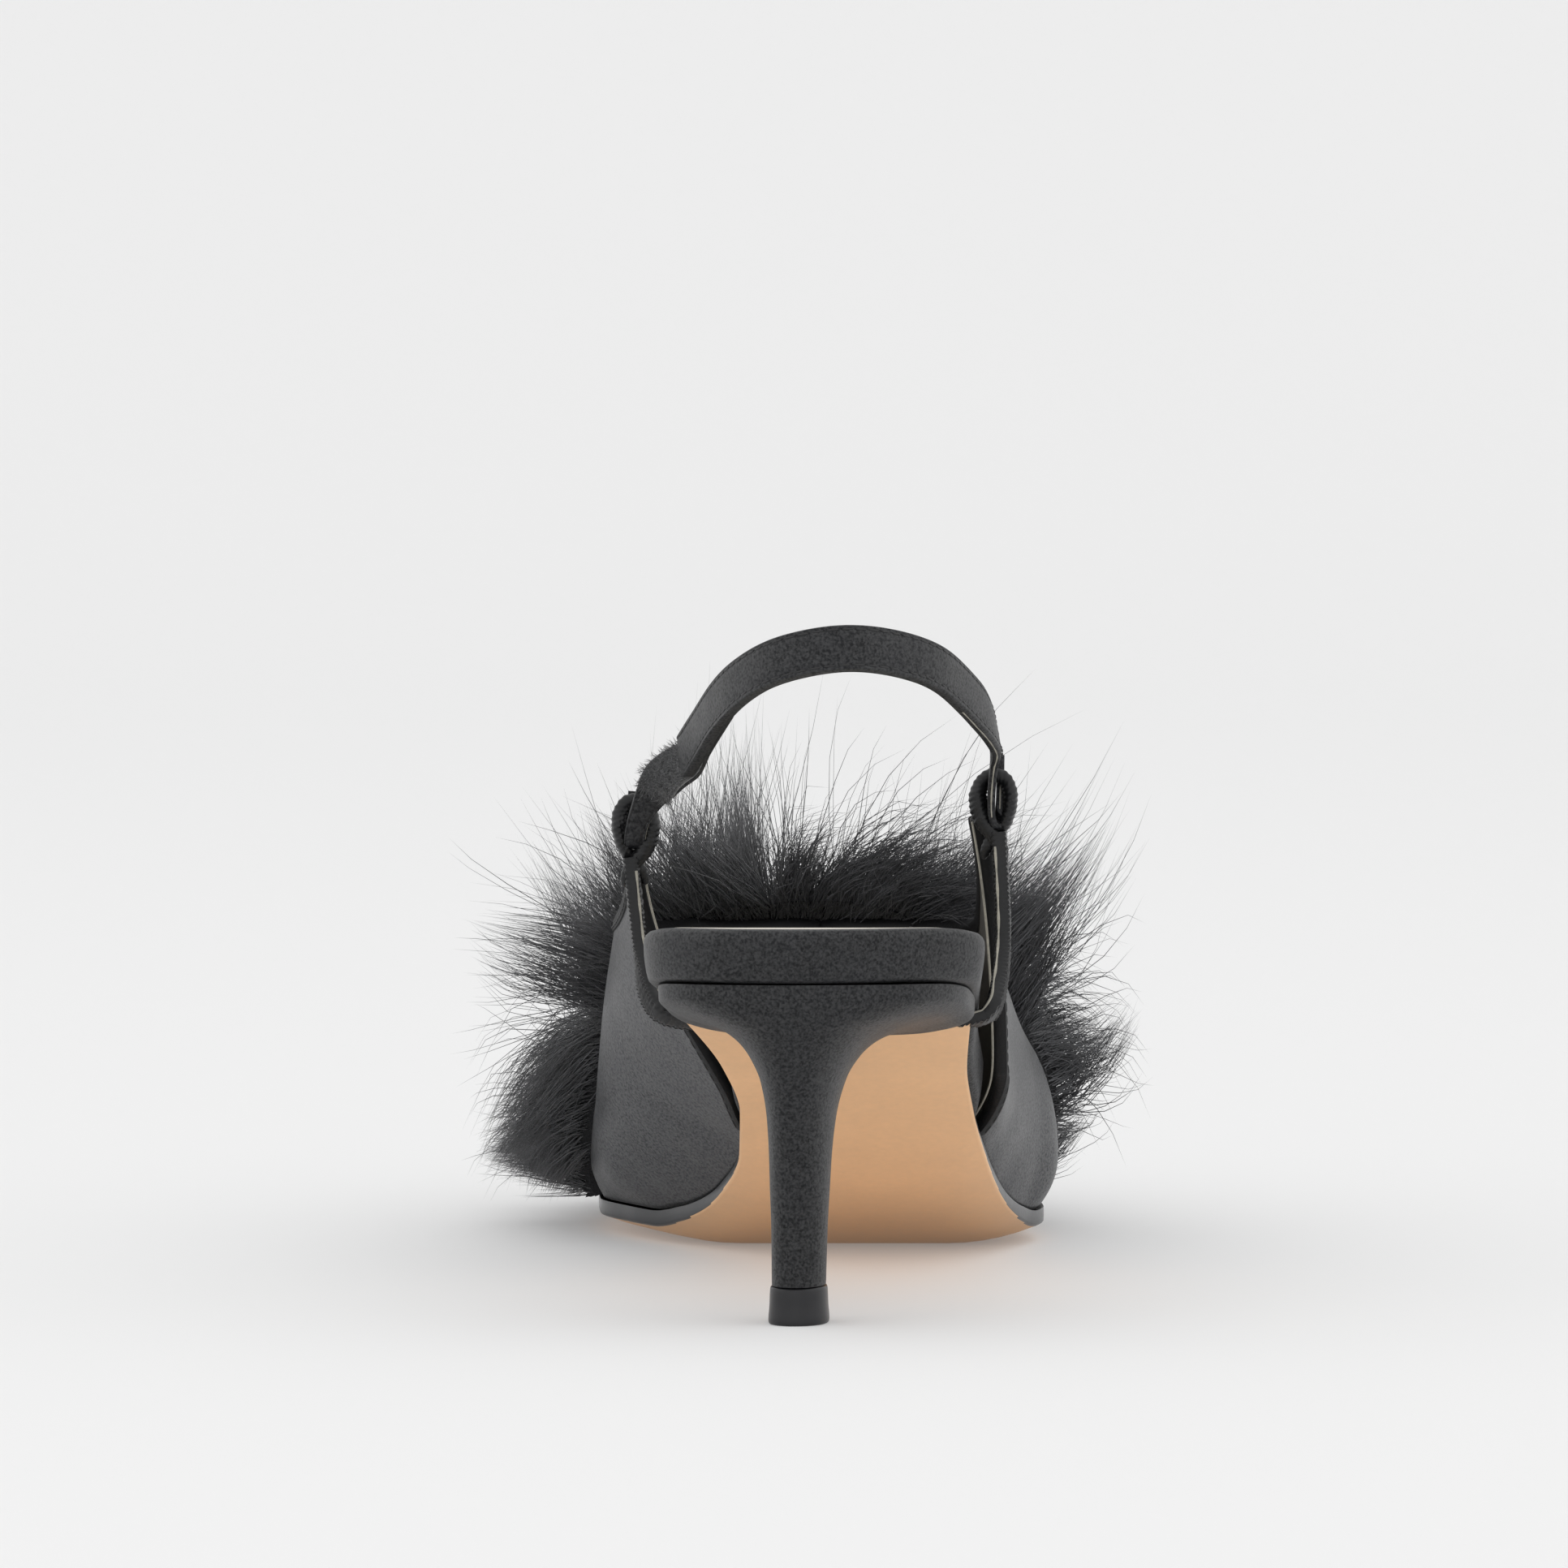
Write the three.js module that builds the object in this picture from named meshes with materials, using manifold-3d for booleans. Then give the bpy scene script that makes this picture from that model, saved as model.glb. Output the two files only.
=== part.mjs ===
// A slingback pump for the right foot: a satin upper under deep fur, a curved mid heel, a thick wrapped
// insole, a leather outsole and a sling strap held by two looped stays.
// Millimetres. +Y runs to the toe, +X to the outer side of the foot, and +Z up.
// The origin is on the floor, at the middle of the heel tip.
import * as THREE from 'three';
import { mergeVertices } from 'three/addons/utils/BufferGeometryUtils.js';
import Module from 'manifold-3d';

const wasm = await Module();
wasm.setup();

// Overall sizes
const shoeLength = 244;        // seat back to toe tip, seen from above
const seatReach = 18;          // heel tip's middle to the seat's back
const ballWidth = 77;          // outsole across the ball
const heelRise = 57.1;         // floor to the underside of the insole, at the seat's back
const toeSpring = 8.5;         // lift of the toe tip over the floor
const edgeLift = 3;            // lift of the sole's sides over its middle
const instepHeight = 60;       // what the upper's section heights are shares of
const joinGap = 0.3;           // between pieces that touch
const layerGap = 0.4;          // between the curved layers of the closure
const clearance = 30;          // how far a cutting shape runs past what it cuts

// Outsole
const treadThickness = 2.8;
const waistThickness = 1.5;
const outsoleLip = 0.6;        // how far the outsole's edge stands out from the upper

// Insole and sock
const insoleThickness = 8.8;
const forepartThickness = 5;
const rimFlare = 2.4;          // how far the insole's rim leans out over its own foot
const rimRound = 2.6;
const rimFade = 16;            // length over which the rim draws in under the quarters
const sockThickness = 1;
const sockInset = 0.8;
const insoleThins = { from: 0.40, to: 0.56, toe: 0.80 };    // shares of the shoe's length

// Heel and tip
const seatWidth = 50.6;
const seatLength = 50.5;
const heelTurn = 0.12;         // the heel's axis runs outwards by this much for each unit forwards
const liftHeight = 6.2;
const liftWidth = 9.8;
const liftDepth = 12;
const liftSquare = 2.6;        // how square the tip is: 2 is an ellipse

// Upper and fur
const wall = 1.8;
const outerTabHeight = 79;     // floor to the top of the outer quarter's tab
const innerTabHeight = 74.5;
const toplineHeight = 56.5;    // floor to the topline at the throat
const furDepth = 8;
const furSetback = 8;          // from the fur's back edge to where its skin's sections start
const furSlope = 5;            // how far the fur's front edge slants back
const lockLength = 27;
const lockWidth = 13;
const innerLock = 0.64;        // length of a lock low on each side, as a share of one on top
const outerLock = 0.42;
const lockFloorGap = 2;        // the lowest that a lock hangs over the floor

// Straps
const strapWidth = 7.6;
const strapThickness = 2.2;
const stayWidth = 6.8;
const stayThickness = 2.5;
const loopWidth = 7.8;         // a stay's loop, outside, seen from behind
const loopHeight = 12.4;
const loopBar = 1.9;           // the loop's own thickness
const loopDepth = 5;           // the loop, from back to front
const innerLoopOut = -0.6;     // how far each loop's middle lies outside its quarter's surface
const outerLoopOut = 1.0;
const loopSeat = 0.95;         // height of a loop's foot, as a share of its tab's height
const eyeBar = 1.9;            // thickness of the eye at a strap's end
const eyeGap = 0.6;            // between the eye and the loop that it hangs in
const slingReach = 62;         // from the loops back to the strap's rearmost point
const slingRise = 32;          // from the middle between the loops up to the strap's highest point
const closureReach = 0.115;    // share of the strap's route between the inner loop and the strap's free end
const closureLap = 0.11;       // share of it on which the strap lies over the closure tab
const pileShow = 0.045;        // share of it on which the pile patch shows past the strap's end
const closureThickness = 1.3;
const pileThickness = 0.8;
const pileMargin = 0.3;        // how far the pile patch stands in from the tab's edges

const toeTip = shoeLength - seatReach;
const treadTop = treadThickness + joinGap;
const alongFoot = (at) => at * shoeLength - seatReach;
const shareAt = (y) => (y + seatReach) / shoeLength;
const tabHeight = (side) => (side < 0 ? innerTabHeight : outerTabHeight);
const beyondStep = 0.02;       // keeps the last station off a round end's very point

// The outsole's two edges, as shares of the ball width: inner is the big-toe side
const outlineRows = [
  { at: 0.000, inner: -0.325, outer: 0.299 },
  { at: 0.115, inner: -0.296, outer: 0.365 },
  { at: 0.205, inner: -0.235, outer: 0.362 },
  { at: 0.279, inner: -0.156, outer: 0.357 },
  { at: 0.344, inner: -0.119, outer: 0.374 },
  { at: 0.410, inner: -0.121, outer: 0.403 },
  { at: 0.484, inner: -0.169, outer: 0.444 },
  { at: 0.557, inner: -0.266, outer: 0.501 },
  { at: 0.615, inner: -0.371, outer: 0.545 },
  { at: 0.672, inner: -0.439, outer: 0.530 },
  { at: 0.730, inner: -0.444, outer: 0.474 },
  { at: 0.791, inner: -0.409, outer: 0.397 },
  { at: 0.852, inner: -0.332, outer: 0.309 },
  { at: 0.914, inner: -0.231, outer: 0.214 },
  { at: 0.959, inner: -0.156, outer: 0.145 },
  { at: 1.000, inner: -0.110, outer: 0.110 },
];
const nearlyWhole = 0.99998;   // stops a round end just short of a point
const heelRounding = 0.115;    // share of the length that the seat's round back takes
const toeRounding = 0.037;     // and the toe's round tip

// The insole's underside along its middle: 1 at the seat's back and 0 on the tread
const fallRows = [
  { at: 0.000, fall: 1.000 },
  { at: 0.057, fall: 0.983 },
  { at: 0.107, fall: 0.950 },
  { at: 0.156, fall: 0.900 },
  { at: 0.205, fall: 0.831 },
  { at: 0.279, fall: 0.656 },
  { at: 0.361, fall: 0.443 },
  { at: 0.443, fall: 0.244 },
  { at: 0.504, fall: 0.115 },
  { at: 0.549, fall: 0.041 },
  { at: 0.590, fall: 0.000 },
  { at: 0.689, fall: 0.000 },
  { at: 1.000, fall: 0.000 },
];
const treadFront = 0.689;
const flatShare = 0.55;        // how much of the sole's half width is level across

// How much of the edge lift and of the thick tread each part of the sole has
const liftRows = [
  { at: 0.00, lift: 0.0, tread: 0 },
  { at: 0.36, lift: 0.1, tread: 0 },
  { at: 0.50, lift: 0.5, tread: 0.6 },
  { at: 0.60, lift: 1.0, tread: 1 },
  { at: 0.74, lift: 1.0, tread: 1 },
  { at: 0.86, lift: 0.6, tread: 1 },
  { at: 1.00, lift: 0.2, tread: 1 },
];

// The upper's outer surface. Belly: the widest point of each side, across as a share of the ball width and
// up as a share of the instep height, over the sole. Crown: the top of the section, in the same shares.
const sectionRows = [
  { at: 0.230, inner: -0.364, innerUp: 0.61, outer: 0.436, outerUp: 0.16, crownUp: 1.24, crown: 0.03 },
  { at: 0.320, inner: -0.374, innerUp: 0.69, outer: 0.450, outerUp: 0.11, crownUp: 1.30, crown: 0.03 },
  { at: 0.381, inner: -0.390, innerUp: 0.66, outer: 0.457, outerUp: 0.15, crownUp: 1.22, crown: 0.03 },
  { at: 0.443, inner: -0.410, innerUp: 0.59, outer: 0.474, outerUp: 0.23, crownUp: 1.06, crown: 0.04 },
  { at: 0.504, inner: -0.434, innerUp: 0.49, outer: 0.504, outerUp: 0.29, crownUp: 0.95, crown: 0.05 },
  { at: 0.557, inner: -0.449, innerUp: 0.34, outer: 0.540, outerUp: 0.25, crownUp: 0.86, crown: 0.05 },
  { at: 0.607, inner: -0.460, innerUp: 0.20, outer: 0.585, outerUp: 0.15, crownUp: 0.77, crown: 0.05 },
  { at: 0.668, inner: -0.472, innerUp: 0.15, outer: 0.575, outerUp: 0.13, crownUp: 0.65, crown: 0.04 },
  { at: 0.730, inner: -0.465, innerUp: 0.16, outer: 0.501, outerUp: 0.15, crownUp: 0.54, crown: 0.02 },
  { at: 0.791, inner: -0.429, innerUp: 0.14, outer: 0.423, outerUp: 0.13, crownUp: 0.45, crown: 0.01 },
  { at: 0.852, inner: -0.351, innerUp: 0.12, outer: 0.335, outerUp: 0.11, crownUp: 0.36, crown: 0.00 },
  { at: 0.914, inner: -0.249, innerUp: 0.10, outer: 0.238, outerUp: 0.10, crownUp: 0.27, crown: 0.00 },
  { at: 0.959, inner: -0.171, innerUp: 0.09, outer: 0.166, outerUp: 0.09, crownUp: 0.21, crown: 0.00 },
  { at: 1.000, inner: -0.123, innerUp: 0.08, outer: 0.123, outerUp: 0.08, crownUp: 0.16, crown: 0.00 },
];

// A quarter's rear edge: up is a share of its tab's height, at a share of the shoe's length
const rearRows = [
  { up: 0.20, at: 0.385 },
  { up: 0.31, at: 0.365 },
  { up: 0.43, at: 0.334 },
  { up: 0.56, at: 0.319 },
  { up: 0.73, at: 0.303 },
  { up: 1.00, at: 0.282 },
];

// The topline: rise is 0 at the throat and 1 at the tab's top
const toplineRows = [
  { rise: 0.00, at: 0.560 },
  { rise: 0.05, at: 0.490 },
  { rise: 0.23, at: 0.400 },
  { rise: 0.51, at: 0.345 },
  { rise: 0.79, at: 0.318 },
  { rise: 1.00, at: 0.308 },
];

// The heel's sections: level is a share of the height under the seat at the tip's middle, half a share of the
// seat's width, centre in shares of it too, back and front shares of the seat's length
const heelRows = [
  { level: 1.000, half: 0.500, centre: 0.029, back: -0.356, front: 0.640, square: 4.5, tilt: 1.00 },
  { level: 0.955, half: 0.498, centre: 0.029, back: -0.358, front: 0.640, square: 4.5, tilt: 1.00 },
  { level: 0.913, half: 0.440, centre: 0.026, back: -0.350, front: 0.625, square: 4.0, tilt: 0.90 },
  { level: 0.880, half: 0.350, centre: 0.022, back: -0.337, front: 0.590, square: 3.6, tilt: 0.72 },
  { level: 0.848, half: 0.260, centre: 0.018, back: -0.318, front: 0.540, square: 3.2, tilt: 0.55 },
  { level: 0.800, half: 0.196, centre: 0.014, back: -0.290, front: 0.455, square: 2.8, tilt: 0.36 },
  { level: 0.750, half: 0.162, centre: 0.011, back: -0.264, front: 0.380, square: 2.6, tilt: 0.22 },
  { level: 0.680, half: 0.134, centre: 0.009, back: -0.231, front: 0.300, square: 2.4, tilt: 0.12 },
  { level: 0.560, half: 0.109, centre: 0.006, back: -0.191, front: 0.215, square: 2.3, tilt: 0.05 },
  { level: 0.430, half: 0.099, centre: 0.004, back: -0.163, front: 0.166, square: 2.2, tilt: 0 },
  { level: 0.320, half: 0.095, centre: 0.003, back: -0.143, front: 0.136, square: 2.2, tilt: 0 },
  { level: 0.200, half: 0.090, centre: 0.002, back: -0.126, front: 0.117, square: 2.2, tilt: 0 },
  { level: 0.000, half: 0.086, centre: 0.000, back: -0.117, front: 0.110, square: 2.2, tilt: 0 },
];

// A stay's route. Up and forward: shares of the way from the heel's corner to the loop's foot. Inner and
// outer: how far out each side's stay is, as a share of the loop's own way out.
const stayRows = [
  { up: 0.00, forward: 0.00, inner: 0.00, outer: 0.00 },
  { up: 0.04, forward: 0.04, inner: 0.40, outer: 0.52 },
  { up: 0.17, forward: 0.40, inner: 0.66, outer: 1.02 },
  { up: 0.36, forward: 0.76, inner: 0.78, outer: 1.24 },
  { up: 0.62, forward: 0.95, inner: 0.88, outer: 1.22 },
  { up: 1.00, forward: 1.00, inner: 1.00, outer: 1.00 },
];

// The sling strap's route from the outer loop's eye round the back to the inner one's. Across: shares of the
// distance between the loops, from their middle; back and up: shares of the sling's reach and rise.
const slingRows = [
  { across: 0.505, back: 0.120, up: 0.405 },
  { across: 0.478, back: 0.320, up: 0.540 },
  { across: 0.405, back: 0.560, up: 0.734 },
  { across: 0.302, back: 0.800, up: 0.909 },
  { across: 0.091, back: 1.000, up: 1.006 },
  { across: -0.088, back: 0.970, up: 0.944 },
  { across: -0.198, back: 0.800, up: 0.816 },
  { across: -0.266, back: 0.610, up: 0.666 },
  { across: -0.314, back: 0.400, up: 0.500 },
  { across: -0.352, back: 0.270, up: 0.372 },
  { across: -0.390, back: 0.160, up: 0.245 },
  { across: -0.445, back: 0.075, up: 0.190 },
];

// Where the locks of fur stand: at a share of the shoe's length, from and to round the section, which is 0 at
// the inner foot and 1 at the outer
const lockRows = [
  { at: 0.575, from: 0.14, to: 0.86, count: 10, length: 1.00 },
  { at: 0.640, from: 0.06, to: 0.94, count: 11, length: 1.00 },
  { at: 0.705, from: 0.08, to: 0.92, count: 10, length: 0.95 },
  { at: 0.770, from: 0.06, to: 0.94, count: 9, length: 0.90 },
  { at: 0.835, from: 0.10, to: 0.90, count: 7, length: 0.80 },
];
const furRear = { high: 0.535, low: 0.585 };    // the fur's back edge, as shares of the length
const furFront = 0.905;

// Curves through tables

// Reads one column of a table anywhere along it, smoothly and without overshoot
function column(rows, key, name) {
  const slope = (i) => (rows[i + 1][name] - rows[i][name]) / (rows[i + 1][key] - rows[i][key]);
  const tangents = rows.map((row, i) => {
    if (i === 0) return slope(0);
    if (i === rows.length - 1) return slope(i - 1);
    const before = slope(i - 1);
    const after = slope(i);
    return before * after <= 0 ? 0 : (2 * before * after) / (before + after);
  });
  return (at) => {
    let i = rows.findIndex((row, n) => n > 0 && at <= row[key]) - 1;
    if (i < 0) i = at <= rows[0][key] ? 0 : rows.length - 2;
    const span = rows[i + 1][key] - rows[i][key];
    const s = THREE.MathUtils.clamp((at - rows[i][key]) / span, 0, 1);
    const a = (1 + 2 * s) * (1 - s) ** 2;
    const b = s * (1 - s) ** 2;
    const c = s * s * (3 - 2 * s);
    const d = s * s * (s - 1);
    return a * rows[i][name] + b * span * tangents[i] + c * rows[i + 1][name] + d * span * tangents[i + 1];
  };
}

const innerEdge = column(outlineRows, 'at', 'inner');
const outerEdge = column(outlineRows, 'at', 'outer');
const fall = column(fallRows, 'at', 'fall');
const lift = column(liftRows, 'at', 'lift');
const tread = column(liftRows, 'at', 'tread');
const columns = (rows, key, names) => (
  Object.fromEntries(names.map((name) => [name, column(rows, key, name)]))
);
const section = columns(sectionRows, 'at', ['inner', 'innerUp', 'outer', 'outerUp', 'crownUp', 'crown']);

// 1 along the shoe, and down to 0 on a quarter ellipse at the seat's back and the toe's tip
function endRounding(y, grow, heelEnd = true) {
  const heelSpan = heelRounding * shoeLength + grow;
  const toeSpan = toeRounding * shoeLength + grow;
  const intoHeel = (y - (alongFoot(heelRounding) - heelSpan)) / heelSpan;
  const intoToe = (toeTip + grow - y) / toeSpan;
  const round = (s) => Math.sqrt(Math.max(0, 1 - (1 - THREE.MathUtils.clamp(s, 0, 1)) ** 2));
  return round(intoToe) * (heelEnd ? round(intoHeel) : 1);
}

// The outline's middle and half width at a place along the shoe, grown outwards by grow
function outline(y, grow = 0) {
  const at = THREE.MathUtils.clamp(shareAt(y), 0, 1);
  const inner = innerEdge(at) * ballWidth;
  const outer = outerEdge(at) * ballWidth;
  return { middle: (inner + outer) / 2, half: ((outer - inner) / 2 + grow) * endRounding(y, grow) };
}

// Height of the insole's underside over the floor; across is -1 at the inner edge and 1 at the outer one
function soleHeight(y, across = 0) {
  const at = THREE.MathUtils.clamp(shareAt(y), 0, 1);
  const spring = toeSpring * Math.max(0, (at - treadFront) / (1 - treadFront)) ** 1.6;
  const side = Math.max(0, (Math.min(1, Math.abs(across)) - flatShare) / (1 - flatShare)) ** 2;
  return treadTop + (heelRise - treadTop) * fall(at) + spring + edgeLift * lift(at) * side;
}

// Stations along the shoe, closer together where an end is round
function stations(from, to, step, roundFrom = 0, roundTo = 0) {
  const capSteps = 6;
  const list = [];
  const cap = (s) => 1 - Math.cos((s * Math.PI) / 2);
  for (let i = 0; roundFrom > 0 && i < capSteps; i += 1) list.push(from + roundFrom * cap(i / capSteps));
  const start = from + roundFrom;
  const end = to - roundTo;
  const count = Math.max(1, Math.round((end - start) / step));
  for (let i = 0; i <= count; i += 1) list.push(start + ((end - start) * i) / count);
  for (let i = capSteps - 1; roundTo > 0 && i >= 0; i -= 1) list.push(to - roundTo * cap(i / capSteps));
  return list;
}

// Solids

function toSolid(geometry) {
  const bare = geometry.clone();
  for (const name of Object.keys(bare.attributes)) if (name !== 'position') bare.deleteAttribute(name);
  const merged = mergeVertices(bare, 1e-5);
  const mesh = new wasm.Mesh({
    numProp: 3,
    vertProperties: new Float32Array(merged.attributes.position.array),
    triVerts: new Uint32Array(merged.index.array),
  });
  return new wasm.Manifold(mesh);
}

function toGeometry(solid) {
  const mesh = solid.getMesh();
  const geometry = new THREE.BufferGeometry();
  geometry.setAttribute('position', new THREE.BufferAttribute(new Float32Array(mesh.vertProperties), 3));
  geometry.setIndex(new THREE.BufferAttribute(new Uint32Array(mesh.triVerts), 1));
  geometry.computeVertexNormals();
  return geometry;
}

// Joins rings of points into a closed skin with an end cap on each side
function loft(rings) {
  const points = rings.flat();
  const size = rings[0].length;
  const index = [];
  for (let r = 0; r + 1 < rings.length; r += 1) {
    for (let i = 0; i < size; i += 1) {
      const j = (i + 1) % size;
      const a = r * size;
      const b = a + size;
      index.push(a + i, a + j, b + j, a + i, b + j, b + i);
    }
  }
  const cap = (ring, base, flip) => {
    const middle = ring.reduce((sum, p) => sum.add(p), new THREE.Vector3()).divideScalar(size);
    const centre = points.push(middle) - 1;
    for (let i = 0; i < size; i += 1) {
      const j = (i + 1) % size;
      index.push(...(flip ? [centre, base + j, base + i] : [centre, base + i, base + j]));
    }
  };
  cap(rings[0], 0, true);
  cap(rings[rings.length - 1], (rings.length - 1) * size, false);
  const geometry = new THREE.BufferGeometry().setFromPoints(points);
  geometry.setIndex(index);
  let volume = 0;
  for (let i = 0; i < index.length; i += 3) {
    volume += points[index[i]].dot(points[index[i + 1]].clone().cross(points[index[i + 2]]));
  }
  if (volume < 0) geometry.setIndex(index.map((n, i) => index[i - (i % 3) + [0, 2, 1][i % 3]]));
  return geometry;
}

// A prism across the shoe whose outline is given along and up
function sidePrism(profile, fromX, toX) {
  const shape = new THREE.Shape(profile.map(([y, z]) => new THREE.Vector2(y, z)));
  const depth = toX - fromX;
  const geometry = new THREE.ExtrudeGeometry(shape, { depth, bevelEnabled: false, curveSegments: 1 });
  geometry.applyMatrix4(new THREE.Matrix4().set(0, 0, 1, fromX, 1, 0, 0, 0, 0, 1, 0, 0, 0, 0, 0, 1));
  return toSolid(geometry);
}

// Sole pieces

const acrossSteps = [-1, -0.86, -flatShare, 0, flatShare, 0.86, 1];
const edgeTuck = 0.5;          // the outsole's lower edge lies in by this much

// The outsole, flat under the ball. grow gives the same form with room round it.
function outsoleGeometry(grow = 0) {
  const start = heelFrontY() + joinGap;
  const capSpan = toeRounding * shoeLength + outsoleLip;
  const rings = stations(start, toeTip + outsoleLip - beyondStep, 9, 0, capSpan).map((y) => {
    const { middle, half } = outline(y, outsoleLip + grow);
    const thickness = THREE.MathUtils.lerp(waistThickness, treadThickness, tread(shareAt(y))) + grow;
    const point = (u, drop, tuck) => (
      new THREE.Vector3(middle + (half - tuck) * u, y, soleHeight(y, u) - joinGap - drop)
    );
    const tuck = Math.min(edgeTuck, half * 0.3);
    return [
      ...acrossSteps.map((u) => point(u, -grow, 0)),
      ...[...acrossSteps].reverse().map((u) => point(u, thickness, tuck)),
    ];
  });
  return loft(rings);
}

// How far the insole's rim stands out from the outline: past it at the heel and inside the upper in front
function rimOut(y) {
  const quarterFoot = alongFoot(rearRows[0].at);
  const inFront = THREE.MathUtils.smoothstep(y, quarterFoot - rimFade, quarterFoot);
  return THREE.MathUtils.lerp(rimFlare, -(wall + joinGap), inFront);
}

// Thick at the heel and waist, thinner under the ball and thinnest at the toe
function insoleThicknessAt(y) {
  const inFront = THREE.MathUtils.smoothstep(shareAt(y), insoleThins.from, insoleThins.to);
  const atToe = THREE.MathUtils.smoothstep(shareAt(y), insoleThins.toe, 1);
  return THREE.MathUtils.lerp(insoleThickness, forepartThickness, inFront) * (1 - atToe / 2);
}

const sheetSteps = [-1, -0.74, -0.4, 0.4, 0.74, 1];

// The insole and its rim. grow gives the same form with room round it.
function insoleSolid(grow = 0) {
  const roundStart = alongFoot(heelRounding);
  const capSpan = (heelRounding * shoeLength + rimFlare + grow) * nearlyWhole;
  const front = toeTip - toeRounding * shoeLength;
  const rings = stations(roundStart - capSpan, front, 10, capSpan).map((place) => {
    const thickness = insoleThicknessAt(place);
    const out = rimOut(place);
    const row = (rise, stand) => {
      const reach = (heelRounding * shoeLength + stand + grow) * nearlyWhole;
      const y = place > roundStart ? place : roundStart - ((roundStart - place) * reach) / capSpan;
      const { middle, half } = outline(y, stand + grow);
      return (u) => new THREE.Vector3(middle + half * u, y, soleHeight(y, u) + rise);
    };
    const underside = row(-grow, Math.min(rimRound * 0.08, out));
    const belly = row(thickness * 0.5, out - rimRound * 0.2);
    const shoulder = row(thickness - rimRound * 0.7, out);
    const brow = row(thickness - rimRound * 0.2 + grow, out - rimRound * 0.35);
    const top = row(thickness + grow, out - rimRound);
    return [
      ...sheetSteps.map(underside),
      belly(1), shoulder(1), brow(1),
      ...[...sheetSteps].reverse().map(top),
      brow(-1), shoulder(-1), belly(-1),
    ];
  });
  return toSolid(loft(rings));
}

// The thin pale sheet on the insole
function sockGeometry() {
  const inset = rimRound + sockInset - rimFlare;
  const capSpan = (heelRounding * shoeLength - inset) * nearlyWhole;
  const front = toeTip - toeRounding * shoeLength - sockInset;
  const rings = stations(-seatReach + inset + beyondStep, front, 12, capSpan).map((y) => {
    const { middle, half } = outline(y, rimOut(y) - rimRound - sockInset);
    const point = (u, rise) => (
      new THREE.Vector3(middle + half * u, y, soleHeight(y, u) + insoleThicknessAt(y) + rise)
    );
    return [
      ...sheetSteps.map((u) => point(u, joinGap)),
      ...[...sheetSteps].reverse().map((u) => point(u, joinGap + sockThickness)),
    ];
  });
  return loft(rings);
}

const backSquare = 2.15;       // how square the heel's rounded back is: 2 is an ellipse
const widestShare = 0.55;      // where a heel section is widest, from its back to its front

// A rounded section with its own squareness behind and in front
function roundRing(half, back, front, squareBack, squareFront) {
  const sides = 24;
  const ring = [];
  for (let i = 0; i < sides; i += 1) {
    const angle = (i / sides) * 2 * Math.PI;
    const sin = Math.sin(angle);
    const cos = Math.cos(angle);
    const power = 2 / (sin > 0 ? squareFront : squareBack);
    const reach = sin > 0 ? front : back;
    ring.push([
      Math.sign(cos) * Math.abs(cos) ** power * half,
      Math.sign(sin) * Math.abs(sin) ** power * reach,
    ]);
  }
  return ring;
}

// The heel block: sections from the seat down to the tip
function heelGeometry() {
  const seatAt = (y) => soleHeight(y) - joinGap;
  const tipTop = liftHeight + joinGap;
  const rings = heelRows.map((row) => {
    const half = row.half * seatWidth;
    const back = row.back * seatLength;
    const front = row.front * seatLength;
    const widestY = back + (front - back) * widestShare;
    const height = tipTop + (seatAt(0) - tipTop) * row.level;
    return roundRing(half, widestY - back, front - widestY, backSquare, row.square).map(([dx, dy]) => {
      const y = widestY + dy;
      const x = dx + row.centre * seatWidth + heelTurn * y;
      return new THREE.Vector3(x, y, height + row.tilt * (seatAt(y) - seatAt(0)));
    });
  });
  return loft(rings);
}

// The tip: a rounded block, a little wider on the floor
function liftGeometry() {
  const rows = [
    { up: 0, wide: 1 },
    { up: 0.13, wide: 1 },
    { up: 0.45, wide: 0.955 },
    { up: 1, wide: 0.93 },
  ];
  const deep = liftDepth / 2;
  const rings = rows.map(({ up, wide }) => (
    roundRing((liftWidth / 2) * wide, deep * wide, deep * wide, liftSquare, liftSquare)
      .map(([x, y]) => new THREE.Vector3(x + heelTurn * y, y, up * liftHeight))
  ));
  return loft(rings);
}

// The upper

const lowerSteps = 4;          // points of a section from its foot to its widest place
const upperSteps = 6;          // and from there to the crown
const footLean = { out: 0.42, up: 0.22 };    // how a section leaves its foot, as shares of the way up
const bellyRise = 0.5;         // how far under its belly a section is already upright, as a share
const sectionSquare = 2.15;
const toeFlatten = 0.6;        // how the section's height follows the toe's rounding

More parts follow.
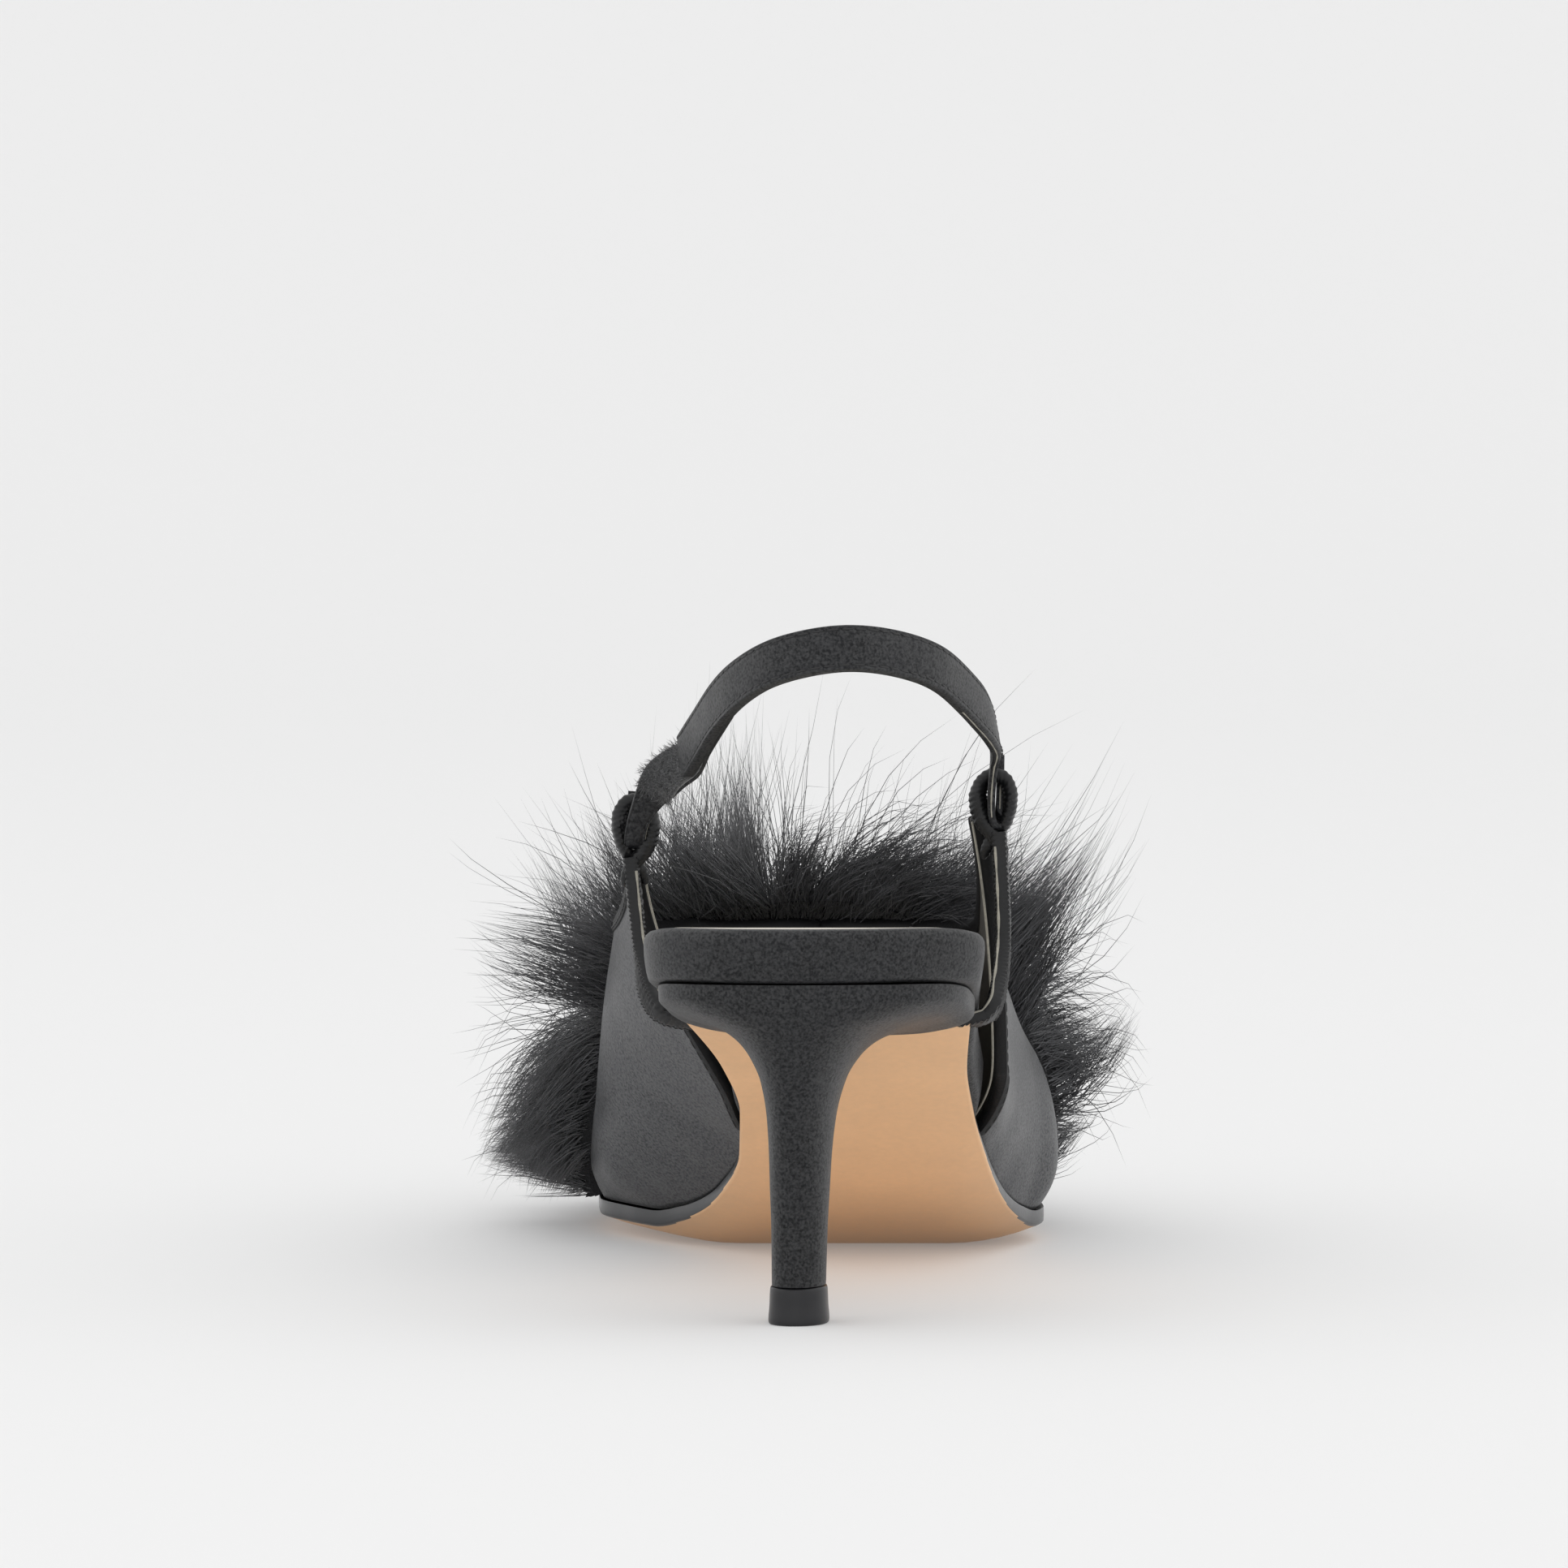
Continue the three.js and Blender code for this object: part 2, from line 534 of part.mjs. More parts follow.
// One section of the upper, from its inner foot over the crown to its outer foot; inset moves it inwards
function sectionPoints(y, inset) {
  const at = THREE.MathUtils.clamp(shareAt(y), sectionRows[0].at, 1);
  const round = endRounding(y, -inset, false);
  const edges = { inner: innerEdge(at) * ballWidth, outer: outerEdge(at) * ballWidth };
  const middle = (edges.inner + edges.outer) / 2;
  const crown = new THREE.Vector2(section.crown(at) * ballWidth, section.crownUp(at) * instepHeight);
  const half = (foot, belly) => {
    const points = [];
    const lower = new THREE.CubicBezierCurve(
      foot,
      new THREE.Vector2(THREE.MathUtils.lerp(foot.x, belly.x, footLean.out), belly.y * footLean.up),
      new THREE.Vector2(belly.x, belly.y * bellyRise),
      belly,
    );
    for (let i = 0; i < lowerSteps; i += 1) points.push(lower.getPoint(i / lowerSteps));
    for (let i = 0; i < upperSteps; i += 1) {
      const angle = (i / upperSteps) * (Math.PI / 2);
      const power = 2 / sectionSquare;
      points.push(new THREE.Vector2(
        crown.x + (belly.x - crown.x) * Math.cos(angle) ** power,
        belly.y + (crown.y - belly.y) * Math.sin(angle) ** power,
      ));
    }
    return points;
  };
  const widest = (side) => (
    new THREE.Vector2(section[side](at) * ballWidth, section[`${side}Up`](at) * instepHeight)
  );
  const inner = half(new THREE.Vector2(edges.inner, 0), widest('inner'));
  const outer = half(new THREE.Vector2(edges.outer, 0), widest('outer'));
  const flat = [...inner, crown, ...outer.reverse()];
  const moved = flat.map((p, i) => {
    const before = flat[Math.max(0, i - 1)];
    const after = flat[Math.min(flat.length - 1, i + 1)];
    const along = after.clone().sub(before).normalize();
    const push = new THREE.Vector2(along.y, -along.x);
    if (i === 0) push.set(1, 0);
    if (i === flat.length - 1) push.set(-1, 0);
    return p.clone().addScaledVector(push, inset);
  });
  return moved.map((p) => {
    const across = Math.min(1, Math.abs(p.x - middle) / Math.abs(edges.outer - middle));
    const ground = soleHeight(y, across);
    const height = Math.max(0, p.y) * round ** toeFlatten;
    return new THREE.Vector3(middle + (p.x - middle) * round, y, ground + height);
  });
}

// The whole form inside a surface, closed underneath at the sole or below it
function lastSolid(inset, from, below = 0, step = 9) {
  const span = toeRounding * shoeLength - inset;
  const rings = stations(from, toeTip - inset - beyondStep, step, 0, span).map((y) => {
    const over = sectionPoints(y, inset);
    const first = over[0];
    const last = over[over.length - 1];
    const under = [0.8, 0.5, 0.2].map((s) => new THREE.Vector3(
      THREE.MathUtils.lerp(first.x, last.x, s),
      y,
      soleHeight(y, s * 2 - 1) - below,
    ));
    if (below === 0) return [...over, ...under];
    const down = (p) => new THREE.Vector3(p.x, y, p.z - below);
    return [down(first), ...over, down(last), ...under];
  });
  return toSolid(loft(rings));
}

const rear = column(rearRows, 'up', 'at');
const topline = column(toplineRows, 'rise', 'at');

// What lies in front of one quarter's free edges and under its topline. side is -1 inside and 1 outside.
function quarterKeep(side) {
  const tab = tabHeight(side);
  const beyond = toeTip + clearance;
  const steps = 15;
  const low = rearRows[0].up;
  const edge = { rear: [], top: [] };
  for (let i = 0; i <= steps; i += 1) {
    const up = low + ((1 - low) * i) / steps;
    const rise = 1 - (i / steps) ** 1.5;
    edge.rear.push([alongFoot(rear(up)), tab * up]);
    edge.top.push([alongFoot(topline(rise)), THREE.MathUtils.lerp(toplineHeight, tab, rise)]);
  }
  const profile = [
    [edge.rear[0][0] + shoeLength * 0.016, -clearance],
    ...edge.rear,
    ...edge.top,
    [beyond, toplineHeight],
    [beyond, -clearance],
  ];
  return sidePrism(profile, side < 0 ? -ballWidth : 0, side < 0 ? 0 : ballWidth);
}

// The upper's outer surface at a place along the shoe and a height, on one side
function sideSurface(y, z, side) {
  const points = sectionPoints(y, 0);
  const half = points.slice(0, (points.length + 1) / 2);
  const list = side < 0 ? half : points.slice((points.length - 1) / 2).reverse();
  const i = Math.max(1, list.findIndex((p) => p.z >= z));
  const s = (z - list[i - 1].z) / (list[i].z - list[i - 1].z);
  return THREE.MathUtils.lerp(list[i - 1].x, list[i].x, s);
}

// Where the upper's sections start, just behind the quarters' tabs
const upperFrom = alongFoot(rear(1)) - wall * 3;

// Fur

const lockStations = [
  { along: 0, thick: 1 },
  { along: 0.5, thick: 0.62 },
  { along: 1, thick: 0.08 },
];
const lockSag = 0.22;          // how far a lock's tip sags, as a share of its length
const lockFlatness = 0.5;      // a lock's thickness, as a share of its width

// A flat tapered lock of hair that sags towards its tip
function lockSolid(root, direction, length, width) {
  const sides = 5;
  const reach = lockStations.map(({ along }) => {
    const p = root.clone().addScaledVector(direction, length * along);
    p.z = Math.max(p.z - length * lockSag * along ** 2, lockFloorGap + (width / 3) * (1 - along));
    return p;
  });
  const across = new THREE.Vector3(0, 1, 0).cross(direction).normalize();
  const along = direction.clone().cross(across).normalize();
  const rings = reach.map((p, n) => {
    const ring = [];
    for (let i = 0; i < sides; i += 1) {
      const angle = (i / sides) * 2 * Math.PI + n * 0.2;
      const r = (width / 2) * lockStations[n].thick;
      const flat = across.clone().multiplyScalar(Math.cos(angle) * r * lockFlatness);
      ring.push(p.clone().add(flat).addScaledVector(along, Math.sin(angle) * r));
    }
    return ring;
  });
  return toSolid(loft(rings));
}

// A deep skin over the vamp with locks standing out of it
function furSolid() {
  const back = { low: alongFoot(furRear.low), high: alongFoot(furRear.high) };
  const front = alongFoot(furFront);
  const top = instepHeight * 3;
  const profile = [
    [back.low, -clearance],
    [back.low, toplineHeight * 0.3],
    [(back.low + back.high) / 2, toplineHeight * 0.7],
    [back.high, toplineHeight],
    [back.high + furDepth * 3, top],
    [front - furSlope, top],
    [front, toplineHeight * 0.3],
    [front - furSlope, -clearance],
  ];
  let fur = lastSolid(-furDepth, back.high - furSetback, 0, 11)
    .intersect(sidePrism(profile, -ballWidth, ballWidth));
  let seed = 7;
  const chance = () => {
    seed = (seed * 16807) % 2147483647;
    return seed / 2147483647;
  };
  for (const row of lockRows) {
    for (let i = 0; i < row.count; i += 1) {
      const y = alongFoot(row.at) + (chance() - 0.5) * lockWidth;
      const skin = sectionPoints(y, -furDepth * 0.5);
      const turn = row.from + ((row.to - row.from) * (i + 0.3 + 0.4 * chance())) / row.count;
      const place = turn * (skin.length - 1);
      const n = THREE.MathUtils.clamp(Math.floor(place), 1, skin.length - 3);
      const root = skin[n].clone().lerp(skin[n + 1], place - n);
      const run = skin[n + 1].clone().sub(skin[n - 1]).normalize();
      const out = new THREE.Vector3(-run.z, 0, run.x);
      const onTop = Math.max(0, out.z);
      const lean = new THREE.Vector3(0, 0.15 + 0.5 * chance(), -0.3 * (1 - onTop));
      const direction = out.add(lean).normalize();
      const low = turn < 0.5 ? innerLock : outerLock;
      const length = lockLength * row.length * (low + (1 - low) * onTop) * (0.85 + 0.3 * chance());
      fur = fur.add(lockSolid(root, direction, length, lockWidth * (0.85 + 0.3 * chance())));
    }
  }
  return fur.subtract(lastSolid(-joinGap, upperFrom, clearance)).subtract(toSolid(outsoleGeometry(joinGap)));
}

// Straps

const bandBevel = 0.22;        // a band's rounded edge, as a share of its thickness

// A band along a route: route(u) gives a centre, the way its face looks and the way along it
function bandSolid(route, { from = 0, to = 1, steps, width, thickness, shift = 0 }) {
  const rings = [];
  for (let i = 0; i <= steps; i += 1) {
    const u = from + ((to - from) * i) / steps;
    const { centre, face, along } = route(u);
    const across = along.clone().cross(face).normalize();
    const w = (typeof width === 'function' ? width(u) : width) / 2;
    const t = thickness / 2;
    const offset = typeof shift === 'function' ? shift(u) : shift;
    const soft = thickness * bandBevel;
    const corners = [
      [w, -t + soft], [w, t - soft], [w - soft * 1.4, t], [-w + soft * 1.4, t],
      [-w, t - soft], [-w, -t + soft], [-w + soft * 1.4, -t], [w - soft * 1.4, -t],
    ];
    rings.push(corners.map(([a, b]) => (
      centre.clone().addScaledVector(across, a).addScaledVector(face, b + offset)
    )));
  }
  return toSolid(loft(rings));
}

function faceAcross(face, along) {
  return face.clone().addScaledVector(along, -face.dot(along)).normalize();
}

// The loop at the top of each stay, just behind its quarter's tab
function loopPlace(side) {
  const y = alongFoot(rear(1)) - joinGap - loopDepth / 2;
  const foot = tabHeight(side) * loopSeat;
  const x = sideSurface(alongFoot(rear(1)), foot, side) + side * (side < 0 ? innerLoopOut : outerLoopOut);
  return { x, y, foot, centre: new THREE.Vector3(x, y, foot + loopHeight / 2) };
}

// An upright ring, round at both ends, whose hole runs along the axis given as its thickness
function ringGeometry(width, height, bar, depth) {
  const stadium = (w, h, path) => {
    const r = Math.min(w, h) / 2;
    const dx = w / 2 - r;
    const dy = h / 2 - r;
    path.absarc(dx, dy, r, 0, Math.PI / 2, false);
    path.absarc(-dx, dy, r, Math.PI / 2, Math.PI, false);
    path.absarc(-dx, -dy, r, Math.PI, Math.PI * 1.5, false);
    path.absarc(dx, -dy, r, Math.PI * 1.5, Math.PI * 2, false);
    path.closePath();
    return path;
  };
  const shape = stadium(width, height, new THREE.Shape());
  shape.holes.push(stadium(width - 2 * bar, height - 2 * bar, new THREE.Path()));
  const geometry = new THREE.ExtrudeGeometry(shape, { depth, bevelEnabled: false, curveSegments: 4 });
  geometry.translate(0, 0, -depth / 2);
  return geometry;
}

const footShift = 0.08;        // how far a stay meets its loop outside the loop's middle, in loop widths

// A stay: a strip from the seat's corner up to its loop
function staySolid(side) {
  const loop = loopPlace(side);
  const start = heelFrontY() + joinGap + stayWidth / 2;
  const edge = outline(start, rimFlare + joinGap);
  const corner = new THREE.Vector3(
    edge.middle + side * edge.half,
    start,
    soleHeight(start, side) + stayThickness / 4,
  );
  const foot = new THREE.Vector3(loop.x + side * loopWidth * footShift, loop.y, loop.foot + loopBar);
  const points = stayRows.map((row) => new THREE.Vector3(
    THREE.MathUtils.lerp(corner.x, foot.x, side < 0 ? row.inner : row.outer),
    THREE.MathUtils.lerp(corner.y, foot.y, row.forward),
    THREE.MathUtils.lerp(corner.z, foot.z, row.up),
  ));
  const curve = new THREE.CatmullRomCurve3(points, false, 'centripetal');
  const route = (u) => {
    const along = curve.getTangentAt(u);
    const face = new THREE.Vector3(along.z * side, 0, -along.x * side);
    return { centre: curve.getPointAt(u), face: faceAcross(face, along), along };
  };
  const strip = bandSolid(route, {
    steps: 15, thickness: stayThickness,
    width: (u) => THREE.MathUtils.lerp(stayWidth, loopDepth * 0.98, THREE.MathUtils.smoothstep(u, 0.7, 1)),
  });
  const ring = ringGeometry(loopWidth, loopHeight, loopBar, loopDepth);
  ring.rotateX(Math.PI / 2);
  ring.translate(...loop.centre.toArray());
  return strip.add(toSolid(ring));
}

function heelFrontY() {
  return heelRows[0].front * seatLength;
}

const loops = { inner: loopPlace(-1), outer: loopPlace(1) };
const slingMiddle = loops.inner.centre.clone().add(loops.outer.centre).multiplyScalar(0.5);
const slingSpan = loops.outer.x - loops.inner.x;
const slingCurve = new THREE.CatmullRomCurve3([
  eyeTop(loops.outer),
  ...slingRows.map((row) => slingMiddle.clone().add(new THREE.Vector3(
    row.across * slingSpan, -row.back * slingReach, row.up * slingRise))),
  eyeTop(loops.inner),
], false, 'centripetal');

const slingLean = 0.34;        // how far the strap's face leans up at the back

function slingRoute(u) {
  const centre = slingCurve.getPointAt(u);
  const along = slingCurve.getTangentAt(u);
  const ankle = new THREE.Vector3(slingMiddle.x, slingMiddle.y - slingReach * 0.45, centre.z);
  const outward = centre.clone().sub(ankle).normalize();
  const lean = slingLean * Math.min(1, Math.max(0, -outward.y));
  const face = faceAcross(outward.add(new THREE.Vector3(0, 0, lean)), along);
  return { centre, face, along };
}

const narrowShare = 0.055;
const closureNarrow = 0.9;     // the closure tab's width, as a share of the strap's

// A strap's width: full, but narrowed to its eye at each end of the route
function slingWidth(u) {
  const toEnd = Math.min(u, 1 - u);
  return THREE.MathUtils.lerp(eyeBar, strapWidth, THREE.MathUtils.smoothstep(toEnd, 0, narrowShare));
}

// The middle of the eye's upper bar, over a loop
function eyeTop(loop) {
  return new THREE.Vector3(loop.x, loop.y, loop.centre.z + loopHeight / 2 + eyeGap + eyeBar / 2);
}

// The eye that a strap's end makes round the top of a loop
function eyeSolid(loop) {
  const around = 2 * (eyeGap + eyeBar);
  const ring = ringGeometry(loopDepth + loopBar + around, loopBar + around, eyeBar, strapThickness);
  ring.rotateX(Math.PI / 2);
  ring.rotateZ(Math.PI / 2);
  ring.translate(loop.x, loop.y, loop.centre.z + loopHeight / 2 - loopBar / 2);
  return toSolid(ring);
}

const group = new THREE.Group();

function addPiece(name, geometry, material) {
  const mesh = new THREE.Mesh(geometry, material);
  mesh.name = name;
  group.add(mesh);
}

const finish = (color, roughness) => new THREE.MeshStandardMaterial({ color, roughness, metalness: 0 });
const satin = finish(0x37383b, 0.5);
const ribbedSatin = finish(0x2c2d30, 0.45);
const soleLeather = finish(0xcf9f70, 0.5);
const tipRubber = finish(0x2b2c2f, 0.4);
const paleLining = finish(0xd9cfbf, 0.7);
const longFur = finish(0x1a1a1c, 0.8);
const darkPile = finish(0x333437, 0.95);

const pileShift = -(strapThickness / 2 + layerGap + pileThickness / 2);
const closureShift = pileShift - pileThickness / 2 - layerGap - closureThickness / 2;
const strapEnd = 1 - closureReach;
const tabStart = strapEnd - closureLap;

const bothQuarters = quarterKeep(-1).add(quarterKeep(1));
const upperSolid = lastSolid(0, upperFrom)
  .subtract(lastSolid(wall, upperFrom - wall * 2, clearance / 4))
  .intersect(bothQuarters)
  .subtract(insoleSolid(joinGap));
const slingSolid = bandSolid(slingRoute, {
  to: strapEnd, steps: 30, width: slingWidth, thickness: strapThickness,
});
const closureSolid = bandSolid(slingRoute, {
  from: tabStart, steps: 12, width: (u) => slingWidth(u) * closureNarrow, thickness: closureThickness,
  shift: (u) => closureShift * (1 - THREE.MathUtils.smoothstep(u, strapEnd + pileShow, 1)),
});
const pileSolid = bandSolid(slingRoute, {
  from: tabStart, to: strapEnd + pileShow, steps: 8,
  width: strapWidth * closureNarrow - pileMargin * 2, thickness: pileThickness,
  shift: pileShift,
});

addPiece('outsole', outsoleGeometry(), soleLeather);
addPiece('top_lift', liftGeometry(), tipRubber);
addPiece('heel', heelGeometry(), satin);
addPiece('insole', toGeometry(insoleSolid()), satin);
addPiece('sock_lining', sockGeometry(), paleLining);
addPiece('upper', toGeometry(upperSolid), satin);
addPiece('fur_vamp', toGeometry(furSolid()), longFur);
addPiece('inner_stay', toGeometry(staySolid(-1)), ribbedSatin);
addPiece('outer_stay', toGeometry(staySolid(1)), ribbedSatin);
addPiece('sling_strap', toGeometry(slingSolid.add(eyeSolid(loops.outer))), satin);
addPiece('closure_tab', toGeometry(closureSolid.add(eyeSolid(loops.inner))), satin);
addPiece('pile_patch', toGeometry(pileSolid), darkPile);

export default group;
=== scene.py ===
"""Builds the satin, leather, straps and fur of a slingback pump round its fixed frame.

Metres. +Y runs to the toe, +X to the outer side of the foot and +Z up. The origin is on the floor, at the
middle of the heel tip. Tables hold shares of the named sizes.
"""

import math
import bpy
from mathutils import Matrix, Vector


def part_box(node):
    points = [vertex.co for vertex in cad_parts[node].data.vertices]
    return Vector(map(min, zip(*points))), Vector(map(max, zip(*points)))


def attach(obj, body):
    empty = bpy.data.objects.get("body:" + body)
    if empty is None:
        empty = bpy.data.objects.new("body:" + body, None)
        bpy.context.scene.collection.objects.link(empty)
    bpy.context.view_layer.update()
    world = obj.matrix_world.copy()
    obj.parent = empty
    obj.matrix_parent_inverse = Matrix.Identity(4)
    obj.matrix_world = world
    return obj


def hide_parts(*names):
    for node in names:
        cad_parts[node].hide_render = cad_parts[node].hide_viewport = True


bl_info = {
    "name": "Fur slingback pump",
    "version": (1, 0, 0),
    "blender": (4, 5, 0),
    "location": "3D View > Sidebar > Shoe",
    "description": "Builds a slingback pump with a fur vamp round its frame",
    "category": "Object",
}

import bmesh
import bpy
import numpy as np
from bpy.props import FloatProperty, FloatVectorProperty, IntProperty
from mathutils import Vector

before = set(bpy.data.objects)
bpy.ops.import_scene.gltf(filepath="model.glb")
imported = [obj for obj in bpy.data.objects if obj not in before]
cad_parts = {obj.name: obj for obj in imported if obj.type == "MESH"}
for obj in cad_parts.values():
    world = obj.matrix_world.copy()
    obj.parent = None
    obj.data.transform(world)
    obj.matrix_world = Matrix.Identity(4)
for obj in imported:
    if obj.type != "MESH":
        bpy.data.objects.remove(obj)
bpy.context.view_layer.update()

MM = 0.001


def table(names, rows):
    """Rows of numbers as dictionaries, by the names of their columns."""
    return [dict(zip(names.split(), row)) for row in rows]


# Sizes of the frame, in metres
SHOE_LENGTH = 244 * MM
SEAT_REACH = 18 * MM
BALL_WIDTH = 77 * MM
HEEL_RISE = 57.1 * MM
TOE_SPRING = 8.5 * MM
EDGE_LIFT = 3 * MM
INSTEP_HEIGHT = 60 * MM
JOIN_GAP = 0.3 * MM
TREAD_THICKNESS = 2.8 * MM
WAIST_THICKNESS = 1.5 * MM
OUTSOLE_LIP = 0.6 * MM
INSOLE_THICKNESS = 8.8 * MM
FOREPART_THICKNESS = 5 * MM
RIM_FLARE = 2.4 * MM
RIM_ROUND = 2.6 * MM
SEAT_WIDTH = 50.6 * MM
SEAT_LENGTH = 50.5 * MM
HEEL_TURN = 0.12
LIFT_HEIGHT = 6.2 * MM
LIFT_WIDTH = 9.8 * MM
LIFT_DEPTH = 12 * MM
WALL = 1.8 * MM
OUTER_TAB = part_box("upper")[1].z
INNER_TAB = 74.5 * MM
TOPLINE_HEIGHT = 56.5 * MM
LOOP_WIDTH = 7.8 * MM
LOOP_HEIGHT = 12.4 * MM
LOOP_DEPTH = 5 * MM
INNER_LOOP_OUT = -0.6 * MM
OUTER_LOOP_OUT = 1.0 * MM
SLING_REACH = 62 * MM
SLING_RISE = 32 * MM
HEEL_ROUNDING = 0.115
TOE_ROUNDING = 0.037
TREAD_FRONT = 0.689
TOE_TIP = SHOE_LENGTH - SEAT_REACH
TREAD_TOP = TREAD_THICKNESS + JOIN_GAP

# The outsole's two edges, as shares of the ball width: inner is the big-toe side
OUTLINE = table("at inner outer", [
    (0.000, -0.325, 0.299), (0.115, -0.296, 0.365), (0.205, -0.235, 0.362), (0.279, -0.156, 0.357),
    (0.344, -0.119, 0.374), (0.410, -0.121, 0.403), (0.484, -0.169, 0.444), (0.557, -0.266, 0.501),
    (0.615, -0.371, 0.545), (0.672, -0.439, 0.530), (0.730, -0.444, 0.474), (0.791, -0.409, 0.397),
    (0.852, -0.332, 0.309), (0.914, -0.231, 0.214), (0.959, -0.156, 0.145), (1.000, -0.110, 0.110),
])

# The insole's underside along its middle: 1 at the seat's back and 0 on the tread
FALL = table("at fall", [
    (0.000, 1.000), (0.057, 0.983), (0.107, 0.950), (0.156, 0.900), (0.205, 0.831), (0.279, 0.656),
    (0.361, 0.443), (0.443, 0.244), (0.504, 0.115), (0.549, 0.041), (0.590, 0.000), (0.689, 0.000),
    (1.000, 0.000),
])

# How much of the edge lift and of the thick tread each part of the sole has
LIFT = table("at lift tread", [
    (0.00, 0.0, 0), (0.36, 0.1, 0), (0.50, 0.5, 0.6), (0.60, 1.0, 1), (0.74, 1.0, 1), (0.86, 0.6, 1),
    (1.00, 0.2, 1),
])

# The upper's sections: the belly of each side, across in ball widths and up in instep heights, and the crown
SECTION = table("at inner inner_up outer outer_up top mid", [
    (0.230, -0.364, 0.61, 0.436, 0.16, 1.24, 0.03), (0.320, -0.374, 0.69, 0.450, 0.09, 1.30, 0.03),
    (0.381, -0.390, 0.66, 0.457, 0.12, 1.22, 0.03), (0.443, -0.410, 0.59, 0.474, 0.23, 1.06, 0.04),
    (0.504, -0.434, 0.49, 0.504, 0.29, 0.95, 0.05), (0.557, -0.449, 0.34, 0.540, 0.25, 0.86, 0.05),
    (0.607, -0.460, 0.20, 0.585, 0.15, 0.77, 0.05), (0.668, -0.472, 0.15, 0.575, 0.13, 0.65, 0.04),
    (0.730, -0.465, 0.16, 0.501, 0.15, 0.54, 0.02), (0.791, -0.429, 0.14, 0.423, 0.13, 0.45, 0.01),
    (0.852, -0.351, 0.12, 0.335, 0.11, 0.36, 0.00), (0.914, -0.249, 0.10, 0.238, 0.10, 0.27, 0.00),
    (0.959, -0.171, 0.09, 0.166, 0.09, 0.21, 0.00), (1.000, -0.123, 0.08, 0.123, 0.08, 0.16, 0.00),
])

# A quarter's rear edge: up is a share of its tab's height, at a share of the shoe's length
REAR = table("up at", [
    (0.20, 0.405), (0.31, 0.388), (0.43, 0.352), (0.56, 0.328), (0.73, 0.306), (1.00, 0.282),
])

# The topline: rise is 0 at the throat and 1 at the tab's top
TOPLINE = table("rise at", [
    (0.00, 0.560), (0.05, 0.490), (0.23, 0.400), (0.51, 0.345), (0.79, 0.318), (1.00, 0.308),
])

# The heel's sections, from the tip up
HEEL = table("level half centre back front square tilt", [
    (0.000, 0.086, 0.000, -0.117, 0.110, 2.2, 0.00), (0.200, 0.090, 0.002, -0.126, 0.117, 2.2, 0.00),
    (0.320, 0.095, 0.003, -0.143, 0.136, 2.2, 0.00), (0.430, 0.099, 0.004, -0.163, 0.166, 2.2, 0.00),
    (0.560, 0.109, 0.006, -0.191, 0.215, 2.3, 0.05), (0.680, 0.134, 0.009, -0.231, 0.300, 2.4, 0.12),
    (0.750, 0.168, 0.011, -0.264, 0.380, 2.6, 0.22), (0.800, 0.208, 0.014, -0.290, 0.455, 2.8, 0.36),
    (0.848, 0.276, 0.018, -0.318, 0.540, 3.2, 0.55), (0.880, 0.360, 0.022, -0.337, 0.590, 3.6, 0.72),
    (0.913, 0.440, 0.026, -0.350, 0.625, 4.0, 0.90), (0.955, 0.498, 0.029, -0.358, 0.640, 4.5, 1.00),
    (1.000, 0.500, 0.029, -0.356, 0.640, 4.5, 1.00),
])

# A stay's route. Up and forward: shares of the way from the heel's corner to the loop's foot.
STAY = table("up forward inner outer", [
    (0.00, 0.00, 0.00, 0.00), (0.04, 0.04, 0.40, 0.52), (0.17, 0.40, 0.66, 1.02), (0.36, 0.76, 0.78, 1.24),
    (0.62, 0.95, 0.88, 1.22), (1.00, 1.00, 1.00, 1.00),
])

# The sling strap's route from the outer loop round the back to the inner one
SLING = table("across back up", [
    (0.505, 0.120, 0.405), (0.478, 0.320, 0.540), (0.405, 0.560, 0.734), (0.302, 0.800, 0.909),
    (0.091, 1.000, 1.006), (-0.088, 0.970, 0.944), (-0.198, 0.800, 0.816), (-0.266, 0.610, 0.666),
    (-0.314, 0.400, 0.500), (-0.352, 0.270, 0.372), (-0.390, 0.160, 0.245), (-0.445, 0.075, 0.190),
])


# Curves and forms

def column(rows, name, key="at"):
    """A smooth curve through one column of a table, without overshoot."""
    places = np.array([row[key] for row in rows], float)
    values = np.array([row[name] for row in rows], float)
    slopes = np.diff(values) / np.diff(places)
    before, after = slopes[:-1], slopes[1:]
    total = np.where(before * after > 0, before + after, 1)
    middle = np.where(before * after > 0, 2 * before * after / total, 0)
    tangents = np.concatenate([slopes[:1], middle, slopes[-1:]])

    def read(at):
        i = np.clip(np.searchsorted(places, at) - 1, 0, len(places) - 2)
        span = places[i + 1] - places[i]
        s = np.clip((at - places[i]) / span, 0, 1)
        return (
            (1 + 2 * s) * (1 - s) ** 2 * values[i]
            + s * (1 - s) ** 2 * span * tangents[i]
            + s * s * (3 - 2 * s) * values[i + 1]
            + s * s * (s - 1) * span * tangents[i + 1]
        )

    return read


def along_foot(at):
    """The place of a share of the shoe's length, in metres from the heel tip's middle."""
    return at * SHOE_LENGTH - SEAT_REACH


def share_at(y):
    """The share of the shoe's length at a place."""
    return (y + SEAT_REACH) / SHOE_LENGTH


def smoothstep(x, low, high):
    """0 below low and 1 above high, with a soft rise between."""
    s = np.clip((x - low) / (high - low), 0, 1)
    return s * s * (3 - 2 * s)


def mix(a, b, s):
    """a at 0 and b at 1."""
    return a + (b - a) * s


